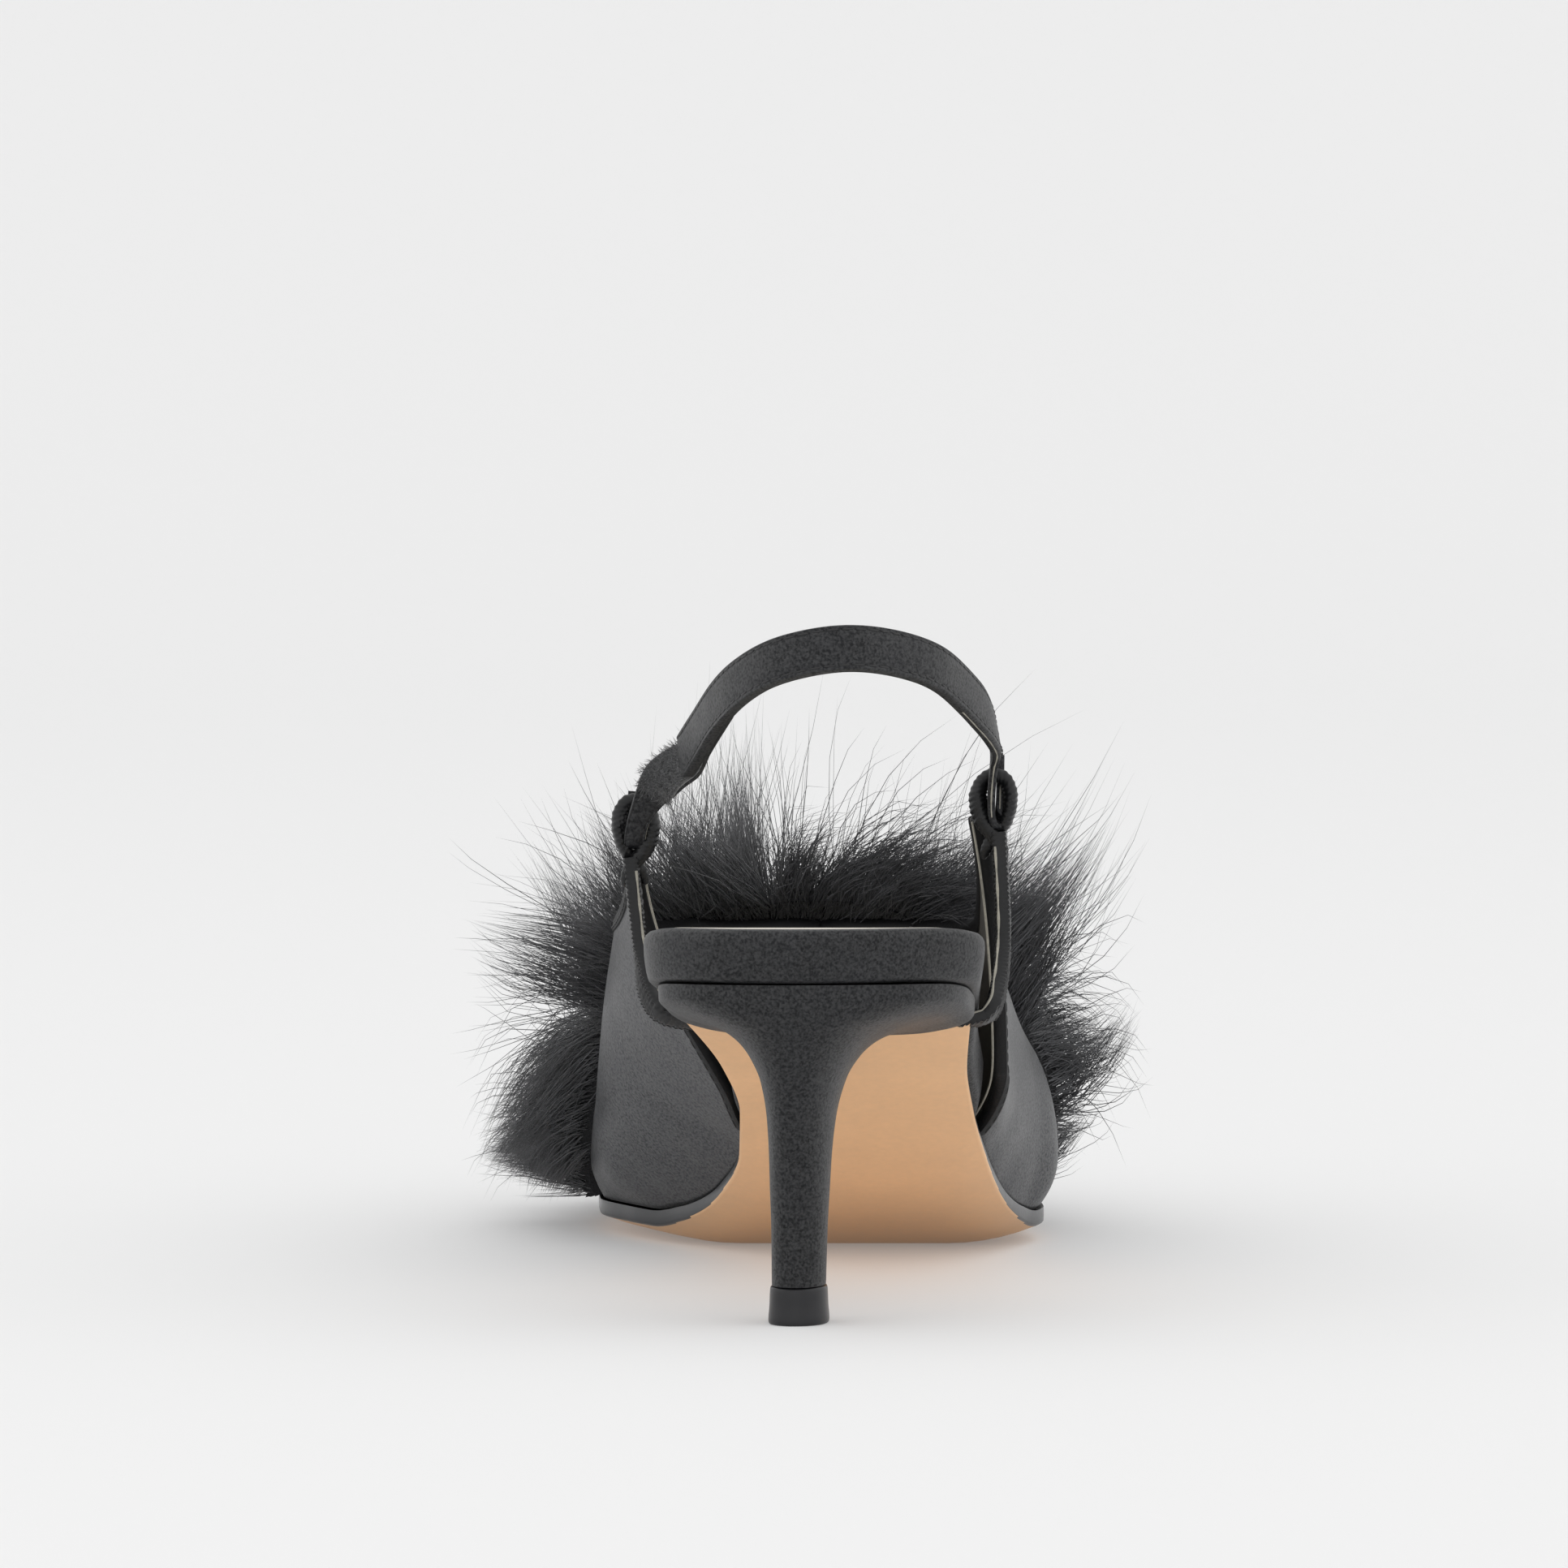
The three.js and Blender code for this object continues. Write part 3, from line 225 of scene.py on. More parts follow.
inner_edge = column(OUTLINE, "inner")
outer_edge = column(OUTLINE, "outer")
fall = column(FALL, "fall")
lift = column(LIFT, "lift")
tread = column(LIFT, "tread")
rear_at = column(REAR, "at", "up")
topline_at = column(TOPLINE, "at", "rise")
section = {name: column(SECTION, name) for name in SECTION[0] if name != "at"}
heel = {name: column(HEEL, name, "level") for name in HEEL[0] if name != "level"}


def round_end(s):
    """A quarter circle's height, from 0 at 0 to 1 at 1."""
    return np.sqrt(np.maximum(0, 1 - (1 - np.clip(s, 0, 1)) ** 2))


def end_rounding(y, grow=0.0, heel_end=True):
    """1 along the shoe, and down to 0 on a quarter ellipse at the seat's back and the toe's tip."""
    heel_span = HEEL_ROUNDING * SHOE_LENGTH + grow
    toe_span = TOE_ROUNDING * SHOE_LENGTH + grow
    into_heel = (y - (along_foot(HEEL_ROUNDING) - heel_span)) / heel_span
    into_toe = (TOE_TIP + grow - y) / toe_span
    return round_end(into_toe) * (round_end(into_heel) if heel_end else 1)


def outline(y, grow=0.0):
    """The outline's middle and half width at a place along the shoe."""
    at = np.clip(share_at(y), 0, 1)
    inner = inner_edge(at) * BALL_WIDTH
    outer = outer_edge(at) * BALL_WIDTH
    return (inner + outer) / 2, ((outer - inner) / 2 + grow) * end_rounding(y, grow)


def sole_height(y, across=0.0):
    """Height of the insole's underside; across is -1 at the inner edge and 1 at the outer one."""
    at = np.clip(share_at(y), 0, 1)
    spring = TOE_SPRING * np.maximum(0, (at - TREAD_FRONT) / (1 - TREAD_FRONT)) ** 1.6
    side = np.maximum(0, (np.minimum(1, np.abs(across)) - 0.55) / 0.45) ** 2
    return TREAD_TOP + (HEEL_RISE - TREAD_TOP) * fall(at) + spring + EDGE_LIFT * lift(at) * side


BELLY_TURN = 0.4   # where a section's widest point lies, from its foot at 0 to its crown at 1


def upper_point(y, turn, side):
    """A point on the upper's outer surface. side is -1 on the big-toe side and 1 on the other."""
    y, turn = np.broadcast_arrays(np.asarray(y, float), np.asarray(turn, float))
    at = np.clip(share_at(y), SECTION[0]["at"], 1)
    rounding = end_rounding(y, 0, False)
    inner, outer = inner_edge(at) * BALL_WIDTH, outer_edge(at) * BALL_WIDTH
    middle = (inner + outer) / 2
    name = "inner" if side < 0 else "outer"
    foot = inner if side < 0 else outer
    belly_x = section[name](at) * BALL_WIDTH
    belly_z = section[name + "_up"](at) * INSTEP_HEIGHT
    top_x = section["mid"](at) * BALL_WIDTH
    top_z = section["top"](at) * INSTEP_HEIGHT
    s = np.clip(turn / BELLY_TURN, 0, 1)
    low = [(1 - s) ** 3, 3 * s * (1 - s) ** 2, 3 * s * s * (1 - s), s ** 3]
    low_x = low[0] * foot + low[1] * mix(foot, belly_x, 0.42) + (low[2] + low[3]) * belly_x
    low_z = belly_z * (low[1] * 0.22 + low[2] * 0.5 + low[3])
    angle = np.clip((turn - BELLY_TURN) / (1 - BELLY_TURN), 0, 1) * math.pi / 2
    power = 2 / 2.15
    high_x = top_x + (belly_x - top_x) * np.maximum(0, np.cos(angle)) ** power
    high_z = belly_z + (top_z - belly_z) * np.sin(angle) ** power
    x = np.where(turn < BELLY_TURN, low_x, high_x)
    z = np.where(turn < BELLY_TURN, low_z, high_z)
    across = np.minimum(1, np.abs(x - middle) / np.abs(outer - middle))
    ground = sole_height(y, across)
    return np.stack([middle + (x - middle) * rounding, y, ground + z * rounding ** 0.6], axis=-1)


def unit(v):
    """Vectors of length 1."""
    return v / np.maximum(np.linalg.norm(v, axis=-1, keepdims=True), 1e-12)


def upper_normal(y, turn, side):
    """The upper's outward direction at a place."""
    y, turn = np.broadcast_arrays(np.asarray(y, float), np.asarray(turn, float))
    step_y, step_t = 0.4 * MM, 0.004
    t0, t1 = np.clip(turn - step_t, 0, 1), np.clip(turn + step_t, 0, 1)
    y0, y1 = y - step_y, np.minimum(y + step_y, TOE_TIP - 0.01 * MM)
    run = upper_point(y1, turn, side) - upper_point(y0, turn, side)
    rise = upper_point(y, t1, side) - upper_point(y, t0, side)
    return unit(np.cross(run, rise) * side)


def turn_at(y, z, side):
    """Where on its section a height lies."""
    turns = np.linspace(0, 1, 160)
    y, z = np.atleast_1d(y), np.atleast_1d(z)
    heights = upper_point(y[:, None], turns[None, :], side)[..., 2]
    return np.array([np.interp(z[i], heights[i], turns) for i in range(len(y))])


def tab_height(side):
    """Height of a quarter's tab over the floor."""
    return INNER_TAB if side < 0 else OUTER_TAB


class Route:
    """A smooth curve through points, read by the share of its length."""

    def __init__(self, points, steps=24, soft=0.0):
        points = np.array([list(p) for p in points], float)
        first = 2 * points[0] - points[1]
        last = 2 * points[-1] - points[-2]
        full = np.vstack([first, points, last])
        out = [points[0]]
        for i in range(1, len(full) - 2):
            p = full[i - 1:i + 3]
            gaps = np.sqrt(np.maximum(np.linalg.norm(np.diff(p, axis=0), axis=1), 1e-9))
            slope_a = (p[1] - p[0]) / gaps[0] - (p[2] - p[0]) / (gaps[0] + gaps[1]) + (p[2] - p[1]) / gaps[1]
            slope_b = (p[2] - p[1]) / gaps[1] - (p[3] - p[1]) / (gaps[1] + gaps[2]) + (p[3] - p[2]) / gaps[2]
            slope_a, slope_b = slope_a * gaps[1], slope_b * gaps[1]
            for k in range(1, steps + 1):
                s = k / steps
                out.append(
                    (2 * s ** 3 - 3 * s ** 2 + 1) * p[1] + (s ** 3 - 2 * s ** 2 + s) * slope_a
                    + (3 * s ** 2 - 2 * s ** 3) * p[2] + (s ** 3 - s ** 2) * slope_b
                )
        self.points = np.array(out)
        for _ in range(int(soft * steps)):
            inner = (self.points[:-2] + self.points[2:]) / 2
            self.points[1:-1] = (self.points[1:-1] + inner) / 2
        lengths = np.linalg.norm(np.diff(self.points, axis=0), axis=1)
        self.length = lengths.sum()
        self.shares = np.concatenate([[0], np.cumsum(lengths)]) / self.length

    def at(self, share):
        """Points at shares of the length."""
        share = np.clip(share, 0, 1)
        return np.stack([np.interp(share, self.shares, self.points[:, n]) for n in range(3)], axis=-1)

    def along(self, share, reach=0.012):
        """The way along at shares of the length."""
        return unit(self.at(np.minimum(share + reach, 1)) - self.at(np.maximum(share - reach, 0)))


# Meshes

def sheet(place, across, along, uv=(1.0, 1.0)):
    """A bmesh sheet. place(u, w) gives the points for shares across and along it; uv is its real size."""
    bm = bmesh.new()
    bmesh.ops.create_grid(bm, x_segments=across, y_segments=along, size=0.5)
    bm.verts.index_update()
    shares = np.array([(v.co.x + 0.5, v.co.y + 0.5) for v in bm.verts])
    points = place(np.clip(shares[:, 0], 0, 1), np.clip(shares[:, 1], 0, 1))
    layer = bm.loops.layers.uv.new("run")
    for face in bm.faces:
        for corner in face.loops:
            u, w = shares[corner.vert.index]
            corner[layer].uv = (u * uv[0], w * uv[1])
    for vert, point in zip(bm.verts, points):
        vert.co = point
    return bm


def close(bm):
    """Joins a sheet's meeting edges into a tube and fills its ends."""
    bmesh.ops.remove_doubles(bm, verts=bm.verts, dist=0.004 * MM)
    open_edges = [e for e in bm.edges if e.is_boundary]
    if open_edges:
        bmesh.ops.holes_fill(bm, edges=open_edges, sides=0)
    bmesh.ops.recalc_face_normals(bm, faces=bm.faces)
    return bm


def add_piece(bm, name, materials, replaces=(), sharp=None):
    """Makes a finished piece of a bmesh: an object at the origin that rides on the shoe."""
    mesh = bpy.data.meshes.new(name)
    bm.to_mesh(mesh)
    bm.free()
    return add_mesh(mesh, name, materials, replaces, sharp)


def add_mesh(mesh, name, materials, replaces=(), sharp=None):
    """Makes a finished piece of a mesh. sharp is the angle, in degrees, past which an edge is crisp."""
    piece = bpy.data.objects.new(name, mesh)
    bpy.context.scene.collection.objects.link(piece)
    for material in materials:
        mesh.materials.append(material)
    mesh.shade_smooth()
    if sharp is not None:
        mesh.set_sharp_from_angle(angle=math.radians(sharp))
    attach(piece, "root")
    if replaces:
        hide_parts(*replaces)
    return piece


def join(target, other):
    """Adds one bmesh to another."""
    mesh = bpy.data.meshes.new("joined")
    other.to_mesh(mesh)
    other.free()
    target.from_mesh(mesh)
    bpy.data.meshes.remove(mesh)
    return target


# Materials

def new_group(name, inputs, outputs):
    """An empty shader node group with named sockets: (name, kind, default)."""
    group = bpy.data.node_groups.new(name, "ShaderNodeTree")
    kinds = {"value": "NodeSocketFloat", "vector": "NodeSocketVector"}
    for label, kind, default in inputs:
        socket = group.interface.new_socket(name=label, in_out="INPUT", socket_type=kinds[kind])
        if default is not None:
            socket.default_value = default
    for label, kind in outputs:
        group.interface.new_socket(name=label, in_out="OUTPUT", socket_type=kinds[kind])
    return group, group.nodes.new("NodeGroupInput"), group.nodes.new("NodeGroupOutput")


def node(tree, kind, inputs=None, **settings):
    """A new shader node. inputs gives sockets a constant, or a link where the value is a socket."""
    made = tree.nodes.new(kind)
    for name, value in settings.items():
        setattr(made, name, value)
    for key, value in (inputs or {}).items():
        socket = made.inputs[key]
        if isinstance(value, bpy.types.NodeSocket):
            tree.links.new(value, socket)
        else:
            socket.default_value = value
    return made


def grain_group():
    """Fine cloth grain: threads one way, a little unevenness, and soft patches of tone."""
    group, given, made = new_group(
        "Cloth grain",
        [("Vector", "vector", None), ("Threads", "value", 5200.0), ("Stretch", "value", 5.0),
         ("Patches", "value", 90.0)],
        [("Height", "value"), ("Tone", "value")],
    )
    stretch = node(group, "ShaderNodeCombineXYZ", {"X": 1.0, "Y": given.outputs["Stretch"], "Z": 1.0})
    drawn = node(group, "ShaderNodeVectorMath", {0: given.outputs["Vector"], 1: stretch.outputs[0]},
                 operation="DIVIDE")
    threads = node(group, "ShaderNodeTexNoise", {
        "Vector": drawn.outputs[0], "Scale": given.outputs["Threads"], "Detail": 1.0, "Roughness": 0.5})
    uneven = node(group, "ShaderNodeTexNoise", {
        "Vector": given.outputs["Vector"], "Scale": 1500.0, "Detail": 2.0, "Roughness": 0.6})
    patches = node(group, "ShaderNodeTexNoise", {
        "Vector": given.outputs["Vector"], "Scale": given.outputs["Patches"], "Detail": 3.0,
        "Roughness": 0.5})
    height = node(group, "ShaderNodeMix", {0: 0.45, 2: threads.outputs[0], 3: uneven.outputs[0]})
    tone = node(group, "ShaderNodeMix", {0: 0.5, 2: uneven.outputs[0], 3: patches.outputs[0]})
    group.links.new(height.outputs[0], made.inputs["Height"])
    group.links.new(tone.outputs[0], made.inputs["Tone"])
    return group


def leather_group():
    """Smooth leather: faint pores, long soft streaks and scuffs."""
    group, given, made = new_group(
        "Leather face",
        [("Vector", "vector", None), ("Pores", "value", 1400.0), ("Streaks", "value", 60.0)],
        [("Height", "value"), ("Tone", "value")],
    )
    pores = node(group, "ShaderNodeTexVoronoi", {
        "Vector": given.outputs["Vector"], "Scale": given.outputs["Pores"]}, feature="SMOOTH_F1")
    fine = node(group, "ShaderNodeTexNoise", {
        "Vector": given.outputs["Vector"], "Scale": 700.0, "Detail": 4.0, "Roughness": 0.6})
    broad = node(group, "ShaderNodeTexNoise", {
        "Vector": given.outputs["Vector"], "Scale": given.outputs["Streaks"], "Detail": 2.0,
        "Roughness": 0.5})
    height = node(group, "ShaderNodeMix", {0: 0.6, 2: pores.outputs[0], 3: fine.outputs[0]})
    tone = node(group, "ShaderNodeMix", {0: 0.55, 2: fine.outputs[0], 3: broad.outputs[0]})
    group.links.new(height.outputs[0], made.inputs["Height"])
    group.links.new(tone.outputs[0], made.inputs["Tone"])
    return group


def finish_material(name, colour, variation, group, settings, bump, group_inputs=None, rough=(0.4, 0.5),
                    glints=None):
    """A Principled material whose tone, roughness and relief come from a group."""
    material = bpy.data.materials.new(name)
    material.use_nodes = True
    tree = material.node_tree
    shader = tree.nodes["Principled BSDF"]
    place = node(tree, "ShaderNodeTexCoord")
    effect = node(tree, "ShaderNodeGroup", node_tree=group)
    tree.links.new(place.outputs["Object"], effect.inputs["Vector"])
    for key, value in (group_inputs or {}).items():
        effect.inputs[key].default_value = value
    dark = [c * (1 - variation) for c in colour[:3]] + [1]
    light = [min(1, c * (1 + variation)) for c in colour[:3]] + [1]
    tone = node(tree, "ShaderNodeMapRange", {"Value": effect.outputs["Tone"], 1: 0.3, 2: 0.7, 3: 0.0, 4: 1.0})
    shade = node(tree, "ShaderNodeMix", data_type="RGBA")
    tree.links.new(tone.outputs[0], shade.inputs[0])
    shade.inputs[6].default_value = dark
    shade.inputs[7].default_value = light
    tree.links.new(shade.outputs[2], shader.inputs["Base Color"])
    roughness = node(tree, "ShaderNodeMapRange", {
        "Value": effect.outputs["Tone"], 1: 0.3, 2: 0.7, 3: rough[0], 4: rough[1]})
    tree.links.new(roughness.outputs[0], shader.inputs["Roughness"])
    relief = node(tree, "ShaderNodeBump", {"Height": effect.outputs["Height"], "Strength": bump[0],
                                           "Distance": bump[1]})
    tree.links.new(relief.outputs[0], shader.inputs["Normal"])
    for key, value in settings.items():
        shader.inputs[key].default_value = value
    if glints:
        # The threads of satin catch the light unevenly
        glint = node(tree, "ShaderNodeMapRange", {
            "Value": effect.outputs["Height"], 1: 0.38, 2: 0.62, 3: glints[0], 4: glints[1]})
        tree.links.new(glint.outputs[0], shader.inputs["Specular IOR Level"])
    return material


def shade_towards_floor(material, low, high, least):
    """Makes a finish darker towards the floor: painted shade, where the floor's shadow falls on it."""
    tree = material.node_tree
    shader = tree.nodes["Principled BSDF"]
    colour = shader.inputs["Base Color"].links[0].from_socket
    place = node(tree, "ShaderNodeTexCoord")
    height = node(tree, "ShaderNodeSeparateXYZ", {"Vector": place.outputs["Object"]})
    share = node(tree, "ShaderNodeMapRange", {
        "Value": height.outputs["Z"], 1: low, 2: high, 3: least, 4: 1.0}, interpolation_type="SMOOTHSTEP")
    shade = node(tree, "ShaderNodeMix", {0: 1.0}, data_type="RGBA", blend_type="MULTIPLY")
    tree.links.new(colour, shade.inputs[6])
    tree.links.new(share.outputs[0], shade.inputs[7])
    tree.links.new(shade.outputs[2], shader.inputs["Base Color"])


def build_materials(colours):
    """Every finish of the shoe, by name."""
    cloth, hide = grain_group(), leather_group()
    made = {}
    made["satin"] = finish_material(
        "Charcoal satin", colours.satin, 0.6, cloth,
        {"Sheen Weight": 0.02, "Sheen Roughness": 0.4}, (0.9, 0.11 * MM),
        {"Threads": 2400.0, "Stretch": 2.0}, rough=(0.38, 0.56), glints=(0.18, 0.62))
    # Painted light: the quarters get a lighter copy of the charcoal satin, for the light their sideways faces
    # catch
    made["quarter"] = finish_material(
        "Quarter satin", [c * 2.6 for c in colours.satin], 0.4, cloth,
        {"Sheen Weight": 0.11, "Sheen Roughness": 0.35}, (0.9, 0.11 * MM),
        {"Threads": 2400.0, "Stretch": 2.0}, rough=(0.36, 0.54), glints=(0.22, 1.0))
    made["binding"] = finish_material(
        "Edge binding", colours.ribbed, 0.5, cloth, {"Specular IOR Level": 0.28}, (0.8, 0.12 * MM),
        {"Threads": 3000.0, "Stretch": 2.0}, rough=(0.5, 0.68))
    made["ribbed"] = finish_material(
        "Ribbed satin", colours.ribbed, 0.5, cloth,
        {"Sheen Weight": 0.03, "Sheen Roughness": 0.4, "Specular IOR Level": 0.36}, (0.5, 0.08 * MM),
        {"Threads": 3000.0, "Stretch": 3.0}, rough=(0.32, 0.45))
    made["lining"] = finish_material(
        "Dark lining", colours.lining, 0.2, hide, {"Specular IOR Level": 0.35}, (0.3, 0.04 * MM),
        rough=(0.6, 0.75))
    made["raw_edge"] = finish_material(
        "Pale cut edge", colours.raw_edge, 0.3, cloth, {"Specular IOR Level": 0.3}, (0.8, 0.1 * MM),
        {"Threads": 2600.0, "Stretch": 1.0}, rough=(0.7, 0.85))
    made["sock"] = finish_material(
        "Pale sock lining", colours.sock, 0.08, hide, {"Specular IOR Level": 0.4}, (0.25, 0.04 * MM),
        rough=(0.5, 0.62))
    made["sole"] = finish_material(
        "Tan sole leather", colours.sole, 0.07, hide, {"Specular IOR Level": 0.45}, (0.22, 0.05 * MM),
        rough=(0.38, 0.5))
    # Painted shade: the tan underside darkens towards the floor, standing in for the shadow there
    shade_towards_floor(made["sole"], 0.0, 16 * MM, 0.68)
    made["sole_edge"] = finish_material(
        "Black sealed edge", colours.sole_edge, 0.15, hide,
        {"Coat Weight": 0.35, "Coat Roughness": 0.22, "Specular IOR Level": 0.4}, (0.15, 0.05 * MM),
        {"Pores": 900.0}, rough=(0.28, 0.4))
    made["rubber"] = finish_material(
        "Tip rubber", colours.rubber, 0.15, hide, {"Specular IOR Level": 0.4}, (0.2, 0.04 * MM),
        {"Pores": 1800.0}, rough=(0.3, 0.4))
    made["thread"] = finish_material(
        "Black thread", colours.thread, 0.25, cloth, {"Specular IOR Level": 0.5}, (0.6, 0.05 * MM),
        {"Threads": 7000.0, "Stretch": 1.0}, rough=(0.4, 0.55))
    made["pile"] = finish_material(
        "Dark pile", colours.pile, 0.35, cloth, {"Sheen Weight": 0.5, "Sheen Roughness": 0.6},
        (1.0, 0.3 * MM), {"Threads": 1800.0, "Stretch": 1.0}, rough=(0.7, 0.9))
    made["fur"] = finish_material(
        "Black fur", colours.fur, 0.6, cloth,
        {"Specular IOR Level": 0.6, "Sheen Weight": 0.15, "Sheen Roughness": 0.5}, (0.0, 0.05 * MM),
        {"Threads": 900.0, "Stretch": 1.0, "Patches": 130.0}, rough=(0.34, 0.5))
    made["under_fur"] = finish_material(
        "Dark under fur", [c * 0.22 for c in colours.fur], 0.5, cloth,
        {"Specular IOR Level": 0.2}, (1.0, 0.6 * MM), {"Threads": 1200.0, "Stretch": 1.0}, rough=(0.8, 0.95))
    return made


finishes = {}


# Sizes and colours that a user may change

def length_field(name, description, default):
    """A length that a user may change."""
    return FloatProperty(name=name, description=description, default=default, unit="LENGTH")


def colour_field(name, description, default):
    """A colour that a user may change."""
    return FloatVectorProperty(name=name, description=description, subtype="COLOR", default=default)


class ShoeSizes(bpy.types.PropertyGroup):
    """Sizes of the straps, the stitching and the hair."""

    strap_width: length_field("Strap width", "Width of the sling strap", 7.6 * MM)
    strap_thickness: length_field("Strap thickness", "Thickness of the sling strap", 2.2 * MM)
    stitch_length: length_field("Stitch length", "Length of one stitch", 2.0 * MM)
    hair_length: length_field("Hair length", "Length of a long hair on top of the fur", 38 * MM)
    hair_width: length_field("Hair width", "Thickness of a hair at its root", 0.17 * MM)
    hair_count: IntProperty(
        name="Hairs", description="Hairs in each of the fur's layers", default=8600, min=100)


class ShoeColours(bpy.types.PropertyGroup):
    """Base colours of the finishes."""

    satin: colour_field("Satin", "Charcoal satin", (0.0085, 0.009, 0.0105))
    ribbed: colour_field("Ribbed satin", "Gathered stays", (0.005, 0.0052, 0.006))
    lining: colour_field("Lining", "Inside of the quarters", (0.070, 0.066, 0.060))
    raw_edge: colour_field("Cut edge", "Raw edges of straps", (0.32, 0.305, 0.26))
    sock: colour_field("Sock", "Sheet on the insole", (0.74, 0.70, 0.62))
    sole: colour_field("Sole leather", "Underside of the outsole", (0.84, 0.51, 0.27))
    sole_edge: colour_field("Sole edge", "Sealed edge", (0.012, 0.013, 0.016))
    rubber: colour_field("Tip rubber", "Heel tip", (0.012, 0.012, 0.014))
    thread: colour_field("Thread", "Stitching", (0.012, 0.012, 0.013))
    pile: colour_field("Pile", "Hook and loop pile", (0.030, 0.031, 0.034))
    fur: colour_field("Fur", "Long hair", (0.062, 0.063, 0.068))


# Sole

# The outsole's edge from the top down: shares of its thickness, and how far it's tucked in, in millimetres
OUTSOLE_EDGE = [(0.14, -0.04), (0.26, -0.05), (0.38, -0.06), (0.50, -0.06), (0.59, -0.05), (0.68, -0.035),
                (0.77, -0.02), (0.86, 0.0), (0.97, 0.25)]
SEALED_SHARE = 0.45     # how much of the edge is sealed black at the waist, from its top


def outsole_bmesh():
    """The outsole: sealed black edge all round and a bare tan underside."""
    start = HEEL[-1]["front"] * SEAT_LENGTH + JOIN_GAP
    end = TOE_TIP + OUTSOLE_LIP - 0.02 * MM
    cap = TOE_ROUNDING * SHOE_LENGTH + OUTSOLE_LIP
    # Once round the section: over the top from the inner edge, down the outer edge and back underneath
    rows = [(u, 0.0, 0.0) for u in np.linspace(-1, 1, 23)]
    rows += [(1, drop, tuck) for drop, tuck in OUTSOLE_EDGE]
    rows += [(u, 1.0, 0.5) for u in np.linspace(1, -1, 23)]
    rows += [(-1, drop, tuck) for drop, tuck in reversed(OUTSOLE_EDGE)] + [(-1, 0, 0)]
    ring = np.array(rows)

    def place(u, w):
        n = np.rint(u * (len(rows) - 1)).astype(int)
        across, drop, tuck = ring[n, 0], ring[n, 1], ring[n, 2]
        straight = 0.86
        y = np.where(
            w < straight,
            start + (end - cap - start) * (w / straight),
            end - cap * np.cos((np.maximum(w, straight) - straight) / (1 - straight) * math.pi / 2),
        )
        y = np.minimum(y, end)
        middle, half = outline(y, OUTSOLE_LIP)
        half = np.maximum(half, 0.02 * MM)
        thickness = mix(WAIST_THICKNESS, TREAD_THICKNESS, tread(share_at(y)))
        x = middle + (half - np.minimum(tuck * MM, half * 0.3)) * across
        z = sole_height(y, across) - JOIN_GAP - drop * thickness
        return np.stack([x, y, z], axis=-1)

    bm = close(sheet(place, len(rows) - 1, 150, (0.08, 0.22)))
    for face in bm.faces:
        face.normal_update()
        middle = face.calc_center_median()
        across, half = outline(middle.y, OUTSOLE_LIP)
        near_edge = abs(middle.x - across) > half - 0.45 * MM
        # Towards the thin waist the bare leather turns up over half of the edge
        on_tread = tread(share_at(middle.y))
        edge_top = sole_height(middle.y, math.copysign(1, middle.x - across)) - JOIN_GAP
        drop = (edge_top - middle.z) / mix(WAIST_THICKNESS, TREAD_THICKNESS, on_tread)
        bare = face.normal.z < -0.5 and not near_edge
        bare = bare or (near_edge and drop > mix(SEALED_SHARE, 1.05, on_tread))
        face.material_index = 0 if bare else 1
    return bm


class SHOE_OT_sole(bpy.types.Operator):
    """The leather outsole with its sealed edge."""

    bl_idname = "shoe.sole"
    bl_label = "Outsole"

    def execute(self, context):
        """Makes the outsole."""
        add_piece(outsole_bmesh(), "outsole_leather", [finishes["sole"], finishes["sole_edge"]],
                  ["outsole"], sharp=50)
        return {"FINISHED"}


# Insole

RIM_PROFILE = table("at stand rise", [
    (0.00, 0.00, 0.00), (0.10, 0.55, 0.06), (0.30, 0.84, 0.30), (0.55, 0.98, 0.62), (0.72, 1.00, 0.80),
    (0.84, 0.80, 0.94), (0.92, 0.42, 0.99), (1.00, 0.00, 1.00),
])


def rim_out(y):
    """How far the insole's rim stands out from the outline."""
    quarter_foot = along_foot(REAR[0]["at"])
    return mix(RIM_FLARE, -(WALL + JOIN_GAP), smoothstep(y, quarter_foot - 16 * MM, quarter_foot))


def insole_thickness(y):
    """Thick in the seat, thin under the ball and halved at the toe."""
    in_front = smoothstep(share_at(y), 0.40, 0.56)
    at_toe = smoothstep(share_at(y), 0.80, 1)
    return mix(INSOLE_THICKNESS, FOREPART_THICKNESS, in_front) * (1 - at_toe / 2)


